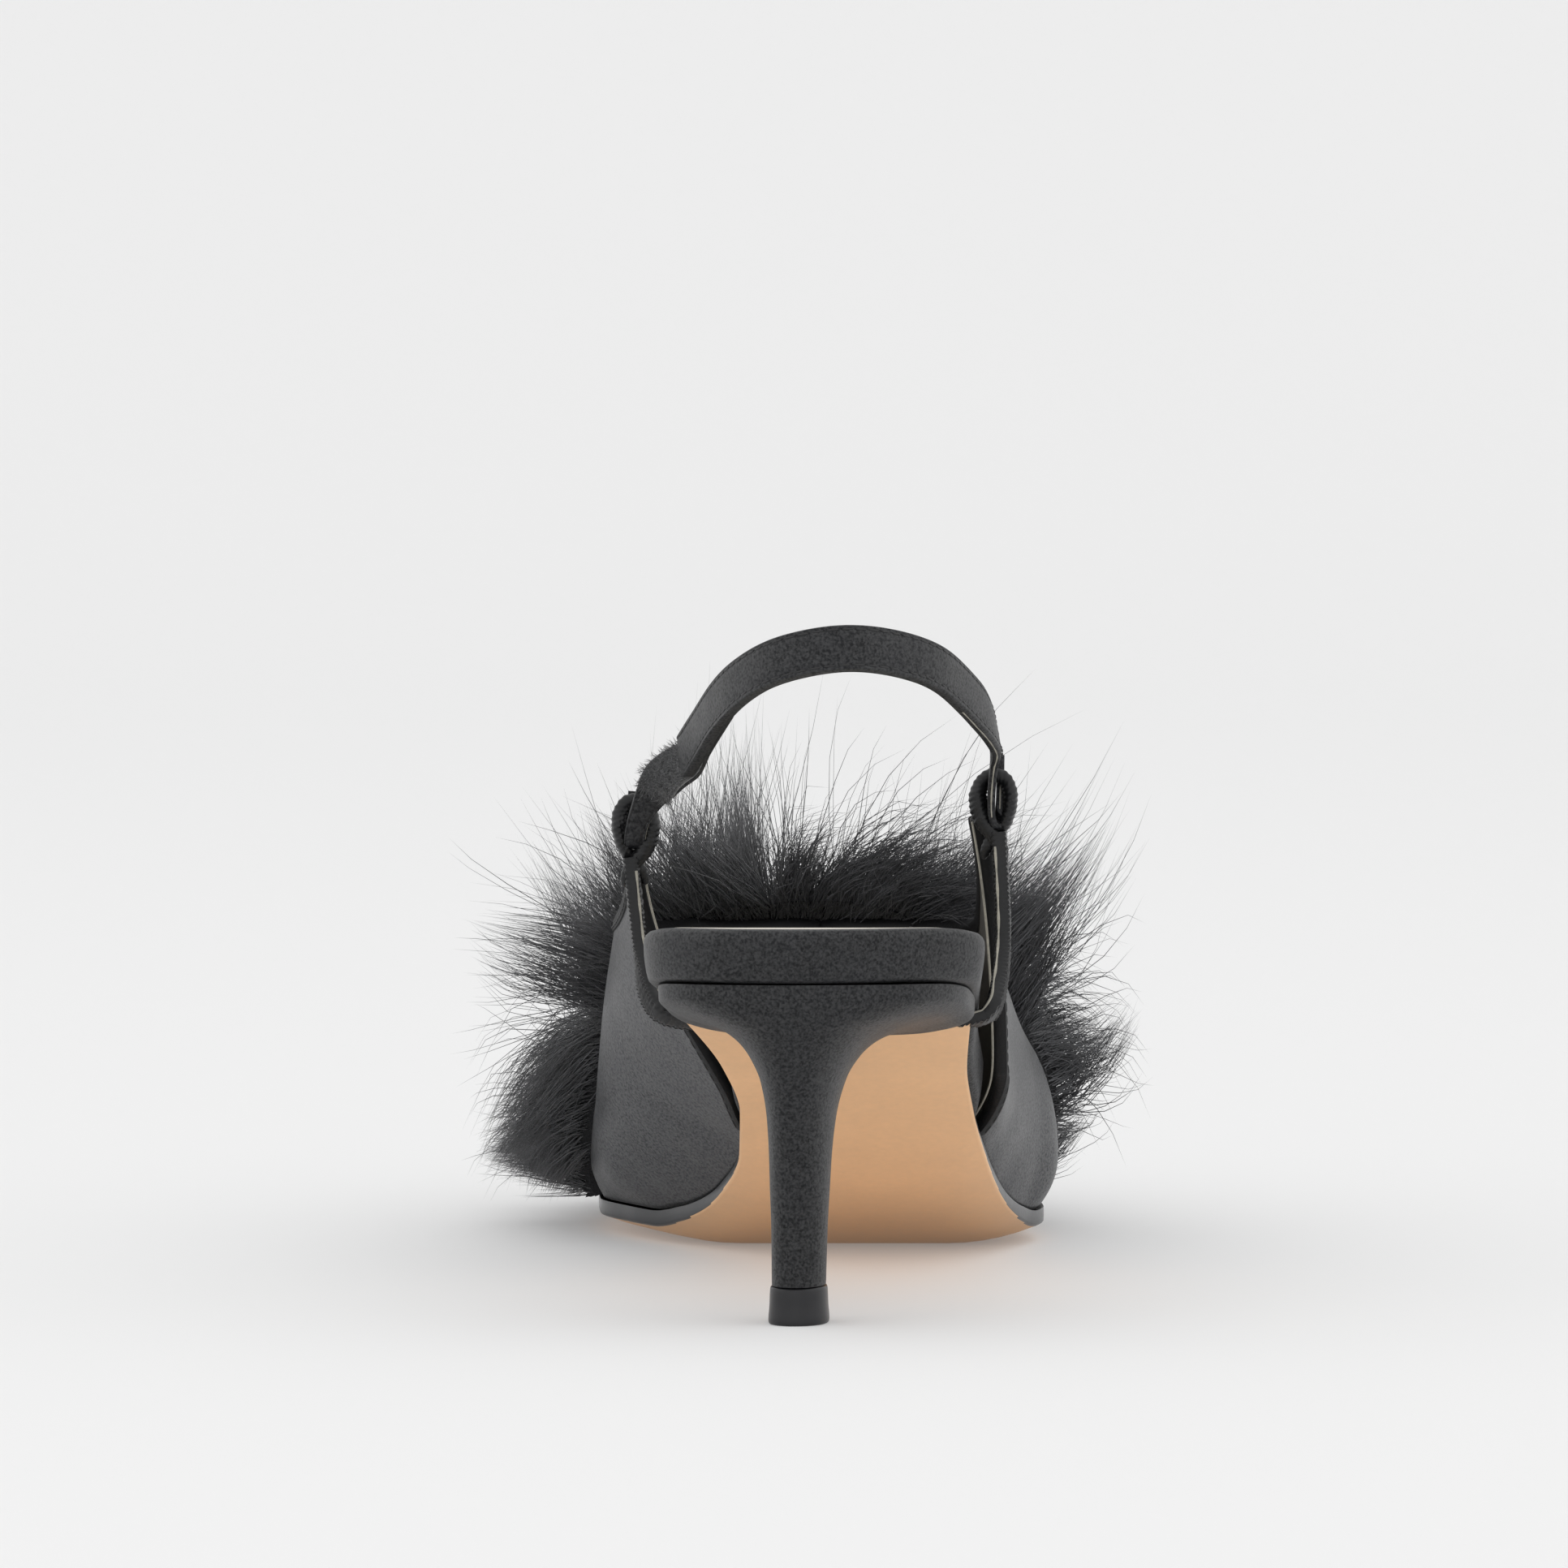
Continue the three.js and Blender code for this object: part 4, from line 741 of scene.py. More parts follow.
def insole_bmesh():
    """The wrapped insole: a thick rounded rim, closed to one upright line at the seat's back."""
    stand = column(RIM_PROFILE, "stand")
    rise = column(RIM_PROFILE, "rise")
    flat, side = 16, 16
    rows = [(-1 + 2 * i / flat, 0.0) for i in range(flat)] + [(1, i / side) for i in range(side)]
    rows += [(1 - 2 * i / flat, 1.0) for i in range(flat)] + [(-1, 1 - i / side) for i in range(side + 1)]
    ring = np.array(rows, float)
    round_start = along_foot(HEEL_ROUNDING)
    front = TOE_TIP - TOE_ROUNDING * SHOE_LENGTH
    cap_share = 0.3

    def place(u, w):
        n = np.rint(u * (len(rows) - 1)).astype(int)
        across, level = ring[n, 0], ring[n, 1]
        angle = (1 - np.clip(w / cap_share, 0, 1)) * math.pi / 2
        straight = np.clip((w - cap_share) / (1 - cap_share), 0, 1)
        y_front = round_start + (front - round_start) * straight
        out = rim_out(y_front)
        bulge = stand(level)
        base = mix(np.minimum(0.2 * MM, out), out - RIM_ROUND, level)
        standing = mix(base, out, bulge)
        reach = HEEL_ROUNDING * SHOE_LENGTH + standing
        y = np.where(w < cap_share, round_start - reach * np.sin(angle), y_front)
        at = np.clip(share_at(y), 0, 1)
        inner, outer = inner_edge(at) * BALL_WIDTH, outer_edge(at) * BALL_WIDTH
        half = ((outer - inner) / 2 + standing) * np.where(w < cap_share, np.cos(angle), 1)
        x = (inner + outer) / 2 + half * across
        z = sole_height(y, across) + rise(level) * insole_thickness(y)
        return np.stack([x, y, z], axis=-1)

    return close(sheet(place, len(rows) - 1, 150, (0.12, 0.24)))


SOCK_SINK = 0.95 * MM     # how deep the sock's edge lies in the padded rim


def sock_bmesh():
    """The pale sheet glued on the insole."""
    inset = RIM_ROUND + 0.5 * MM - RIM_FLARE
    thickness = 1.0 * MM
    flat = 18
    rows = [(-1 + 2 * i / flat, 0.0) for i in range(flat + 1)] + [(1, 0.3), (1, 0.8)]
    rows += [(0.985 - 1.97 * i / flat, 1.0) for i in range(flat + 1)] + [(-1, 0.8), (-1, 0.3), (-1, 0)]
    ring = np.array(rows)
    round_start = along_foot(HEEL_ROUNDING)
    reach = HEEL_ROUNDING * SHOE_LENGTH - inset
    front = TOE_TIP - TOE_ROUNDING * SHOE_LENGTH - 0.8 * MM
    cap_share = 0.3

    def place(u, w):
        n = np.rint(u * (len(rows) - 1)).astype(int)
        across, level = ring[n, 0], ring[n, 1]
        angle = (1 - np.clip(w / cap_share, 0, 1)) * math.pi / 2
        y_front = round_start + (front - round_start) * np.clip((w - cap_share) / (1 - cap_share), 0, 1)
        y = np.where(w < cap_share, round_start - reach * np.sin(angle), y_front)
        at = np.clip(share_at(y), 0, 1)
        inner, outer = inner_edge(at) * BALL_WIDTH, outer_edge(at) * BALL_WIDTH
        half = (outer - inner) / 2 + rim_out(y) - RIM_ROUND - 0.5 * MM
        half = half * np.where(w < cap_share, np.cos(angle), 1)
        z = sole_height(y, across) + insole_thickness(y) - SOCK_SINK + level * thickness
        return np.stack([(inner + outer) / 2 + half * across, y, z], axis=-1)

    return close(sheet(place, len(rows) - 1, 120, (0.12, 0.24)))


class SHOE_OT_insole(bpy.types.Operator):
    """The satin-wrapped insole and the pale sock lining on it."""

    bl_idname = "shoe.insole"
    bl_label = "Insole"

    def execute(self, context):
        """Makes the insole and its sock lining."""
        add_piece(insole_bmesh(), "insole_wrap", [finishes["satin"]], ["insole"], sharp=60)
        add_piece(sock_bmesh(), "sock_sheet", [finishes["sock"]], ["sock_lining"], sharp=60)
        return {"FINISHED"}


# Heel

def super_ring(angle, half, back, front, square):
    """Points of a rounded section round its waist: square in front, round behind."""
    sin, cos = np.sin(angle), np.cos(angle)
    power = np.where(sin > 0, 2 / square, 2 / 2.15)
    return np.sign(cos) * np.abs(cos) ** power * half, np.where(
        sin > 0, np.abs(sin) ** power * front, -np.abs(sin) ** power * back)


def heel_bmesh():
    """The wrapped heel: a wide seat that sweeps down to a slim stem."""
    seat = sole_height(0.0) - JOIN_GAP
    tip_top = LIFT_HEIGHT + 0.12 * MM

    def place(u, w):
        level = 1 - w
        back = heel["back"](level) * SEAT_LENGTH
        front = heel["front"](level) * SEAT_LENGTH
        waist = back + (front - back) * 0.55
        dx, dy = super_ring(u * 2 * math.pi, heel["half"](level) * SEAT_WIDTH, waist - back, front - waist,
                            heel["square"](level))
        y = waist + dy
        x = dx + heel["centre"](level) * SEAT_WIDTH + HEEL_TURN * y
        z = tip_top + (seat - tip_top) * level + heel["tilt"](level) * (sole_height(y) - sole_height(0.0))
        return np.stack([x, y, z], axis=-1)

    return close(sheet(place, 112, 110, (0.1, 0.06)))


def lift_bmesh():
    """The rubber tip with a soft lower edge and a thin groove over it."""
    rows = table("at wide z", [
        (0.00, 0.93, 0.00), (0.10, 0.985, 0.03), (0.22, 1.00, 0.12), (0.55, 0.965, 0.50), (0.88, 0.94, 0.93),
        (0.95, 0.91, 0.985), (1.00, 0.86, 1.00),
    ])
    wide, height = column(rows, "wide"), column(rows, "z")

    def place(u, w):
        dx, dy = super_ring(u * 2 * math.pi, LIFT_WIDTH / 2, LIFT_DEPTH / 2, LIFT_DEPTH / 2, 2.6)
        scale = wide(w)
        return np.stack([dx * scale + HEEL_TURN * dy * scale, dy * scale, height(w) * LIFT_HEIGHT], axis=-1)

    return close(sheet(place, 64, 24, (0.036, 0.006)))


class SHOE_OT_heel(bpy.types.Operator):
    """The satin-wrapped heel and its rubber tip."""

    bl_idname = "shoe.heel"
    bl_label = "Heel"

    def execute(self, context):
        """Makes the heel and its tip."""
        add_piece(heel_bmesh(), "heel_wrap", [finishes["satin"]], ["heel"], sharp=60)
        add_piece(lift_bmesh(), "heel_tip_rubber", [finishes["rubber"]], ["top_lift"], sharp=60)
        return {"FINISHED"}


# Upper

THROAT_SHARE = 0.46   # share of the upper's grid that lies behind the throat
TAB_TOP_SHARE = 0.07


def quarter_place(side):
    """How the upper's grid lies on one side: u from the foot up, w from the rear edge to the toe."""
    tab = tab_height(side)
    throat = along_foot(TOPLINE[0]["at"])
    ups = np.linspace(REAR[0]["up"], 1, 400)
    rear_y = along_foot(rear_at(ups))
    gap = tab * ups - sole_height(rear_y, side)
    low = ups[np.argmax(gap > 0)]
    shares = np.linspace(0, 1, 90)
    up = mix(low, 1, shares)
    rear = {"y": along_foot(rear_at(up)), "turn": turn_at(along_foot(rear_at(up)), tab * up, side)}
    rear["turn"][0] = 0
    rise = np.clip(1 - ((shares - TAB_TOP_SHARE) / (1 - TAB_TOP_SHARE)), 0, 1) ** 1.35
    on_tab = shares < TAB_TOP_SHARE
    top_y = along_foot(topline_at(rise))
    top_y = np.where(on_tab, mix(rear["y"][-1], along_foot(topline_at(1.0)), shares / TAB_TOP_SHARE), top_y)
    top = {"y": top_y, "turn": turn_at(top_y, mix(TOPLINE_HEIGHT, tab, rise), side)}
    top["turn"][-1] = 1

    def read(border, name, share):
        return np.interp(share, shares, border[name])

    def place(u, w):
        s = np.clip(w / THROAT_SHARE, 0, 1)
        rear_foot = rear["y"][0]
        y = (
            (1 - u) * mix(rear_foot, throat, s) + u * read(top, "y", s)
            + (1 - s) * read(rear, "y", u) + s * throat
            - ((1 - s) * (1 - u) * rear_foot + (1 - s) * u * rear["y"][-1] + s * throat)
        )
        turn = (
            u * read(top, "turn", s) + (1 - s) * read(rear, "turn", u) + s * u
            - ((1 - s) * u * rear["turn"][-1] + s * u)
        )
        toe_span = TOE_ROUNDING * SHOE_LENGTH
        front = np.clip((w - THROAT_SHARE) / (1 - THROAT_SHARE), 0, 1)
        straight = 0.72
        y_front = np.where(
            front < straight,
            throat + (TOE_TIP - toe_span - throat) * front / straight,
            TOE_TIP - 0.02 * MM - (toe_span - 0.02 * MM) * np.cos(
                (np.maximum(front, straight) - straight) / (1 - straight) * math.pi / 2),
        )
        return np.where(w > THROAT_SHARE, y_front, y), np.where(w > THROAT_SHARE, u, np.clip(turn, 0, 1))

    return place


# Soft hollows and ridges in the satin: where they start and end, how deep and how wide
CREASES = [
    {"side": -1, "y": (0.078, 0.098), "z": (0.018, 0.030), "depth": 0.30, "width": 4.0},
    {"side": -1, "y": (0.070, 0.088), "z": (0.044, 0.036), "depth": -0.25, "width": 5.0},
    {"side": -1, "y": (0.092, 0.104), "z": (0.010, 0.016), "depth": 0.25, "width": 3.5},
    {"side": 1, "y": (0.080, 0.100), "z": (0.016, 0.026), "depth": 0.30, "width": 4.0},
    {"side": 1, "y": (0.066, 0.086), "z": (0.046, 0.036), "depth": -0.22, "width": 5.0},
    {"side": 1, "y": (0.094, 0.108), "z": (0.009, 0.014), "depth": 0.25, "width": 3.5},
]


def creased(points, normals, side):
    """Points pushed in or out along the creases of one side."""
    out = points.copy()
    for crease in CREASES:
        if crease["side"] != side:
            continue
        a = np.array([crease["y"][0], crease["z"][0]])
        b = np.array([crease["y"][1], crease["z"][1]])
        flat = points[:, 1:3] - a
        run = (b - a) / np.linalg.norm(b - a)
        along = np.clip(flat @ run / np.linalg.norm(b - a), 0, 1)
        away = np.linalg.norm(flat - np.outer(along * np.linalg.norm(b - a), run), axis=1)
        fade = np.sin(np.clip(along, 0.02, 0.98) * math.pi) ** 0.5
        push = -crease["depth"] * MM * fade * np.exp(-(away / (crease["width"] * MM)) ** 2)
        out += normals * push[:, None]
    return out


def upper_bmesh():
    """The upper's satin, both quarters joined over the vamp, with its thickness inwards."""
    whole = None
    for side in (-1, 1):
        where = quarter_place(side)

        def place(u, w, side=side, where=where):
            y, turn = where(u, w)
            points = upper_point(y, turn, side)
            return creased(points, upper_normal(y, turn, side), side)

        bm = sheet(place, 46, 150, (0.07, 0.2))
        if side < 0:
            bmesh.ops.reverse_faces(bm, faces=bm.faces)
        whole = bm if whole is None else join(whole, bm)
    bmesh.ops.remove_doubles(whole, verts=whole.verts, dist=0.02 * MM)
    bmesh.ops.recalc_face_normals(whole, faces=whole.faces)
    outward = sum(face.normal.x * face.calc_center_median().x for face in whole.faces)
    if outward < 0:
        bmesh.ops.reverse_faces(whole, faces=whole.faces)
    return whole


def edge_line(side, kind, count=160):
    """Points and outward directions along a quarter's rear edge or topline, and the way into the cloth."""
    where = quarter_place(side)
    s = np.linspace(0, 1, count)
    if kind == "rear":
        u, w = s, np.zeros(count)
        inward = (s, np.full(count, 0.03))
    else:
        w = mix(TAB_TOP_SHARE, 1, s) * THROAT_SHARE
        u = np.ones(count)
        inward = (np.full(count, 0.97), w)
    y, turn = where(u, w)
    points, normals = upper_point(y, turn, side), upper_normal(y, turn, side)
    y_in, turn_in = where(*inward)
    toward = upper_point(y_in, turn_in, side) - points
    tangent = unit(np.gradient(points, axis=0))
    toward -= tangent * (toward * tangent).sum(1, keepdims=True)
    toward -= normals * (toward * normals).sum(1, keepdims=True)
    return points, normals, unit(toward)


# A binding's section round a cut edge: in along the cloth and out from its face, in millimetres
BINDING = [
    (2.0, 0.02), (1.9, 0.22), (1.2, 0.34), (0.5, 0.36), (-0.15, 0.22), (-0.42, -0.3), (-0.5, -0.9),
    (-0.42, -1.5), (-0.15, -1.98), (0.5, -2.12), (1.2, -2.1), (1.9, -2.0), (2.0, -1.82), (1.0, -1.6),
    (1.0, -0.2), (2.0, 0.02),
]


def binding_bmesh(side, kind):
    """The binding folded round a quarter's rear edge or topline."""
    points, normals, toward = edge_line(side, kind)
    shape = np.array(BINDING) * MM
    count = len(points)

    def place(u, w):
        n = u * (len(shape) - 1)
        i = np.minimum(n.astype(int), len(shape) - 2)
        flat = mix(shape[i], shape[i + 1], (n - i)[:, None])
        k = np.rint(w * (count - 1)).astype(int)
        return points[k] + toward[k] * flat[:, :1] + normals[k] * flat[:, 1:]

    length = np.linalg.norm(np.diff(points, axis=0), axis=1).sum()
    return close(sheet(place, len(shape) - 1, count - 1, (0.01, length)))


def smoothed(points, times):
    """A line of points with its corners rounded and its ends kept."""
    line = points.copy()
    for _ in range(times):
        line[1:-1] = (line[:-2] + 2 * line[1:-1] + line[2:]) / 4
    return line


def cord_bmesh(points, normals, radius):
    """A thin bead through points."""
    count = len(points)
    run = unit(np.gradient(points, axis=0))
    across = unit(np.cross(run, normals))

    def place(u, w):
        k = np.rint(w * (count - 1)).astype(int)
        angle = u * 2 * math.pi
        return points[k] + (across[k] * np.cos(angle)[:, None] + normals[k] * np.sin(angle)[:, None]) * radius

    return close(sheet(place, 8, count - 1, (0.001, 0.1)))


def stitches_bmesh(points, normals, length, gap, width):
    """A row of thread stitches on a line, each a small rounded bar sunk into the cloth."""
    steps = np.linalg.norm(np.diff(points, axis=0), axis=1)
    reach = np.concatenate([[0], np.cumsum(steps)])
    whole = bmesh.new()
    place = gap
    while place + length < reach[-1]:
        ends = [np.array([np.interp(p, reach, points[:, n]) for n in range(3)])
                for p in (place, place + length)]
        up = unit(np.array([np.interp(place + length / 2, reach, normals[:, n]) for n in range(3)]))
        middle = (ends[0] + ends[1]) / 2
        run = unit(ends[1] - ends[0])
        across = np.cross(up, run)
        made = bmesh.ops.create_uvsphere(whole, u_segments=6, v_segments=5, radius=1.0)
        for vert in made["verts"]:
            a, b, c = vert.co
            long = math.copysign(abs(c) ** 0.6, c)
            vert.co = Vector(
                middle + run * long * length / 2 + across * a * width / 2 + up * b * width * 0.38)
        place += length + gap
    return whole


class SHOE_OT_upper(bpy.types.Operator):
    """The satin upper with its bound edges and stitching."""

    bl_idname = "shoe.upper"
    bl_label = "Upper"

    def execute(self, context):
        """Makes the upper, its bindings, its stitching and the raw lining edge behind them."""
        sizes = context.scene.shoe_sizes
        bm = upper_bmesh()
        upper = add_piece(bm, "upper_satin", [finishes["quarter"], finishes["lining"], finishes["raw_edge"]],
                          ["upper"], sharp=60)
        wall = upper.modifiers.new("Wall", "SOLIDIFY")
        wall.thickness = WALL
        wall.offset = -1
        wall.use_even_offset = True
        wall.material_offset = 1
        wall.material_offset_rim = 2
        for side, label in ((-1, "inner"), (1, "outer")):
            for kind in ("rear", "topline"):
                add_piece(binding_bmesh(side, kind), f"{label}_{kind}_binding", [finishes["binding"]],
                          sharp=50)
                points, normals, toward = edge_line(side, kind)
                line = points + toward * 1.35 * MM + normals * 0.34 * MM
                add_piece(stitches_bmesh(line, normals, sizes.stitch_length, 0.5 * MM, 0.42 * MM),
                          f"{label}_{kind}_stitching", [finishes["thread"]])
                if kind == "topline":
                    continue
                inside = smoothed(points - toward * 0.7 * MM - normals * (WALL + 0.3 * MM), 160)
                add_piece(cord_bmesh(inside, normals, 0.2 * MM), f"{label}_{kind}_raw_edge",
                          [finishes["raw_edge"]])
        return {"FINISHED"}


# Straps

def loop_place(side):
    """The middle of a stay's loop and the height of its foot."""
    y = along_foot(rear_at(1.0)) - JOIN_GAP - LOOP_DEPTH / 2
    foot = tab_height(side) * 0.95
    at_tab = along_foot(rear_at(1.0))
    turn = turn_at(np.array([at_tab]), np.array([foot]), side)[0]
    x = upper_point(at_tab, turn, side)[0] + side * (INNER_LOOP_OUT if side < 0 else OUTER_LOOP_OUT)
    return np.array([x, y, foot + LOOP_HEIGHT / 2]), foot


def band_frame(route, share, face):
    """Centre, way along, face direction and way across at shares of a route."""
    centre, along = route.at(share), route.along(share)
    face = face - along * (face * along).sum(-1, keepdims=True)
    face = unit(face)
    return centre, along, face, np.cross(along, face)


RIB_PITCH = 0.85 * MM     # from one gathered rib to the next


def edge_bead(route, faces, width, sign, radius, start, end, shift=None, steps=90):
    """A thin pale bead along a strap's cut edge, where its lining shows. The radius is in millimetres."""
    def place(u, w):
        share = mix(start, end, w)
        centre, _, face, across = band_frame(route, share, faces(share))
        moved = shift(share)[:, None] if shift else 0
        angle = u * 2 * math.pi
        out = sign * (width(share)[:, None] / 2 - 0.05 * MM + np.cos(angle)[:, None] * radius * MM * sign)
        uneven = 1 + 0.25 * np.sin(share * route.length / (0.9 * MM))
        return centre + across * out + face * (np.sin(angle)[:, None] * radius * MM * uneven[:, None] + moved)

    return close(sheet(place, 8, steps, (0.001, route.length * (end - start))))


def band_bmesh(route, faces, width, thickness, profile, steps=120, start=0.0, end=1.0, shift=0.0, ribs=0.0):
    """A strap along a route. profile: points of its section, in half widths and half thicknesses."""
    shape = np.array(profile + profile[:1], float)

    def place(u, w):
        n = u * (len(shape) - 1)
        i = np.minimum(n.astype(int), len(shape) - 2)
        flat = mix(shape[i], shape[i + 1], (n - i)[:, None])
        share = mix(start, end, w)
        centre, _, face, across = band_frame(route, share, faces(share))
        half = width(share)[:, None] / 2
        deep = (thickness(share) if callable(thickness) else thickness) / 2
        deep = deep[:, None] if isinstance(deep, np.ndarray) else deep
        moved = shift(share)[:, None] if callable(shift) else shift
        if ribs:
            phase = share * route.length / RIB_PITCH + flat[:, 0] * 0.8
            deep = deep + ribs * (np.sin(phase * 2 * math.pi) + 0.5 * np.sin(phase * 2.7 + 1))[:, None]
        return centre + across * flat[:, :1] * half + face * (flat[:, 1:] * deep + moved)

    size = (route.length * 0.1, route.length * (end - start))
    return close(sheet(place, len(shape) - 1, steps, size))


STITCH_ROW = 0.79     # the rows' distance from the strap's middle, in half widths
# A strap's section, once round: a crowned face with a sunk stitch row near each edge, and square cut edges
STRAP_FACE = [(-1.0, 0.55), (-0.95, 0.90), (-0.86, 0.97), (-STITCH_ROW, 0.86), (-0.72, 0.98), (-0.45, 1.05),
              (0.0, 1.08), (0.45, 1.05), (0.72, 0.98), (STITCH_ROW, 0.86), (0.86, 0.97), (0.95, 0.90),
              (1.0, 0.55)]
STRAP_SECTION = STRAP_FACE + [(1.0, 0.0)] + [(x, -z) for x, z in reversed(STRAP_FACE)] + [(-1.0, 0.0)]


# The strap's folded outer end: behind the loop's top, through it and up before it, the free end first.
# Millimetres from the outer loop's middle.
OUTER_TURN = [(1.0, 3.5, 8.2), (0.95, 3.1, 4.6), (0.85, 1.6, 1.0), (0.5, 0.4, -2.4), (0.0, 0.0, -3.1),
              (-0.5, -0.5, -2.2), (-0.65, -1.5, 1.0), (-0.45, -2.7, 4.6), (-0.1, -4.2, 8.6)]
# The closure tab's lower end, from the strap's end to behind the inner loop, from the inner loop's middle
INNER_TURN = [(4.9, -10.0, 9.4), (2.3, -6.0, 5.4), (0.5, -3.6, 1.4), (-0.1, -0.8, -2.4), (-0.1, 1.6, -1.2),
              (0.4, 3.2, 2.6), (0.7, 3.6, 6.4)]


def sling_route():
    """The strap's route, the closure tab's and the middle between the loops."""
    inner, outer = loop_place(-1)[0], loop_place(1)[0]
    middle, span = (inner + outer) / 2, outer[0] - inner[0]
    points = [outer + np.array(turn) * MM for turn in OUTER_TURN]
    back = [middle + [row["across"] * span, -row["back"] * SLING_REACH, row["up"] * SLING_RISE]
            for row in SLING]
    strap = Route(points + back[1:-1], soft=3.0)
    tab = Route(back[7:10] + [inner + np.array(turn) * MM for turn in INNER_TURN], soft=1.5)
    return strap, tab, middle


def sling_faces(route, middle, turn):
    """Which way the strap faces: out from the ankle and a little up, and by the turn's rule at a loop."""
    def faces(share):
        centre = route.at(share)
        # The inner end looks back towards the heel, where the outer end lies edge on to it
        inner_side = 1 - smoothstep(centre[:, 0], -15 * MM, 22 * MM)
        ankle = np.stack([np.full(len(centre), middle[0]),
                          middle[1] + mix(-0.45 * SLING_REACH, 3 * MM, inner_side), centre[:, 2]], axis=-1)
        outward = unit(centre - ankle)
        lean = 0.34 * np.clip(-outward[:, 1], 0, 1)
        outward = outward + np.stack([lean * 0, lean * 0, lean], axis=-1)
        near = smoothstep(centre[:, 1], middle[1] - 16 * MM, middle[1] - 4 * MM)[:, None]
        return unit(outward * (1 - near) + turn(route.along(share)) * near)
    return faces


def edge_on(along):
    """Which way a strap faces where it's seen edge on from behind."""
    return np.cross(np.array([0, 1.0, 0]), along)


def face_on(along):
    """Which way a strap faces where it's seen flat from behind."""
    return np.cross(along, np.array([1.0, 0, 0]))


# A loop's middle line on the outer side, in millimetres from its middle: out, forward, up.
# Its ends cross below.
LOOP_LINE = [(-1.9, 1.6, -9.0), (-1.4, 1.2, -7.4), (-0.1, 0.7, -5.2), (1.7, 0.4, -2.6), (2.55, 0.1, 0.6),
             (2.3, 0.2, 3.2), (0.95, 0.4, 4.9), (-0.95, 0.4, 4.9), (-2.45, 0.2, 3.2), (-2.8, 0.0, 0.6),
             (-1.9, -0.2, -2.6), (-0.1, -0.6, -5.2), (1.3, -0.7, -7.4), (1.7, -0.1, -9.2)]


def loop_bmesh(centre, side):
    """A ribbed satin loop: a fat ribbon bent to a drop, whose two ends cross under its hole."""
    line = np.array(LOOP_LINE) * MM * [side, 1, 1]
    route = Route(list(centre + line), soft=1.0)

    def place(u, w):
        at, along = route.at(w), route.along(w)
        out = unit(np.cross(along, np.array([0, 1.0, 0])))
        deep = np.cross(out, along)
        angle = u * 2 * math.pi
        middle = np.sin(w * math.pi)
        on_top = smoothstep(at[:, 2] - centre[2], 1 * MM, 4.5 * MM)
        wide = mix(2.3, mix(3.1, 2.5, smoothstep(0.5 - w, -0.1, 0.1)), smoothstep(middle, 0.35, 0.7)) * MM
        wide = mix(wide, 2.5 * MM, on_top)
        thick = mix(mix(2.2, 4.6, smoothstep(middle, 0.3, 0.75)), 2.3, on_top) * MM
        ends = np.sqrt(np.clip(np.minimum(w, 1 - w) / 0.08, 0, 1))
        phase = w * route.length / RIB_PITCH + np.cos(angle) * 0.9
        rib = (1 + 0.045 * np.sin(phase * 2 * math.pi) + 0.025 * np.sin(phase * 2.3 + 2)) * mix(0.15, 1, ends)
        return (at + out * (np.cos(angle) * wide / 2 * rib)[:, None]
                + deep * (np.sin(angle) * thick / 2 * rib)[:, None])

    return close(sheet(place, 18, 300, (0.012, route.length)))


STAY_TURN = {-1: 0.85, 1: 0.2}     # how far a stay's lower part is turned to face the back
STAY_WIDTH, STAY_THICKNESS = 6.8 * MM, 2.5 * MM


def stay_parts(side):
    """A stay's route from the seat's corner to its loop, and the way its face looks."""
    centre, loop_foot = loop_place(side)
    start = HEEL[-1]["front"] * SEAT_LENGTH + JOIN_GAP + STAY_WIDTH / 2
    middle, half = outline(start, RIM_FLARE + JOIN_GAP)
    corner = np.array([middle + side * half, start, sole_height(start, side) + STAY_THICKNESS / 4])
    foot = np.array([centre[0] + side * LOOP_WIDTH * 0.08, centre[1], loop_foot + 1.9 * MM])
    name = "inner" if side < 0 else "outer"
    tucked = corner + np.array([-side * 4.5, -0.6, -0.2]) * MM
    points = [tucked] + [[mix(corner[0], foot[0], row[name]), mix(corner[1], foot[1], row["forward"]),
                          mix(corner[2], foot[2], row["up"])] for row in STAY]
    route = Route(points, soft=0.6)

    def faces(share):
        along = route.along(share)
        sideways = np.stack([along[:, 2] * side, np.zeros(len(along)), -along[:, 0] * side], axis=-1)
        back = np.zeros_like(along) + [0, -1, 0]
        turned = STAY_TURN[side] * (1 - smoothstep(share, 0.12, 0.62)) * smoothstep(share, 0.0, 0.1)
        return unit(sideways + back * turned[:, None])

    return route, faces


STRAP_NECK, STRAP_NECK_DEPTH = 3.8 * MM, 1.25 * MM     # the strap where it's pulled through its loop
STRAP_END = 0.955           # where the strap ends on its route, over the closure tab
STITCH_GAP = 0.45 * MM
BEAD = 0.14                 # the pale bead's radius on the strap, in millimetres
TAB_NECK = 3.5 * MM
PILE_START, PILE_END = 0.02, 0.60
FIBRES, FIBRE_SEED = 1700, 21
FIBRE_WIDTH = 0.13 * MM


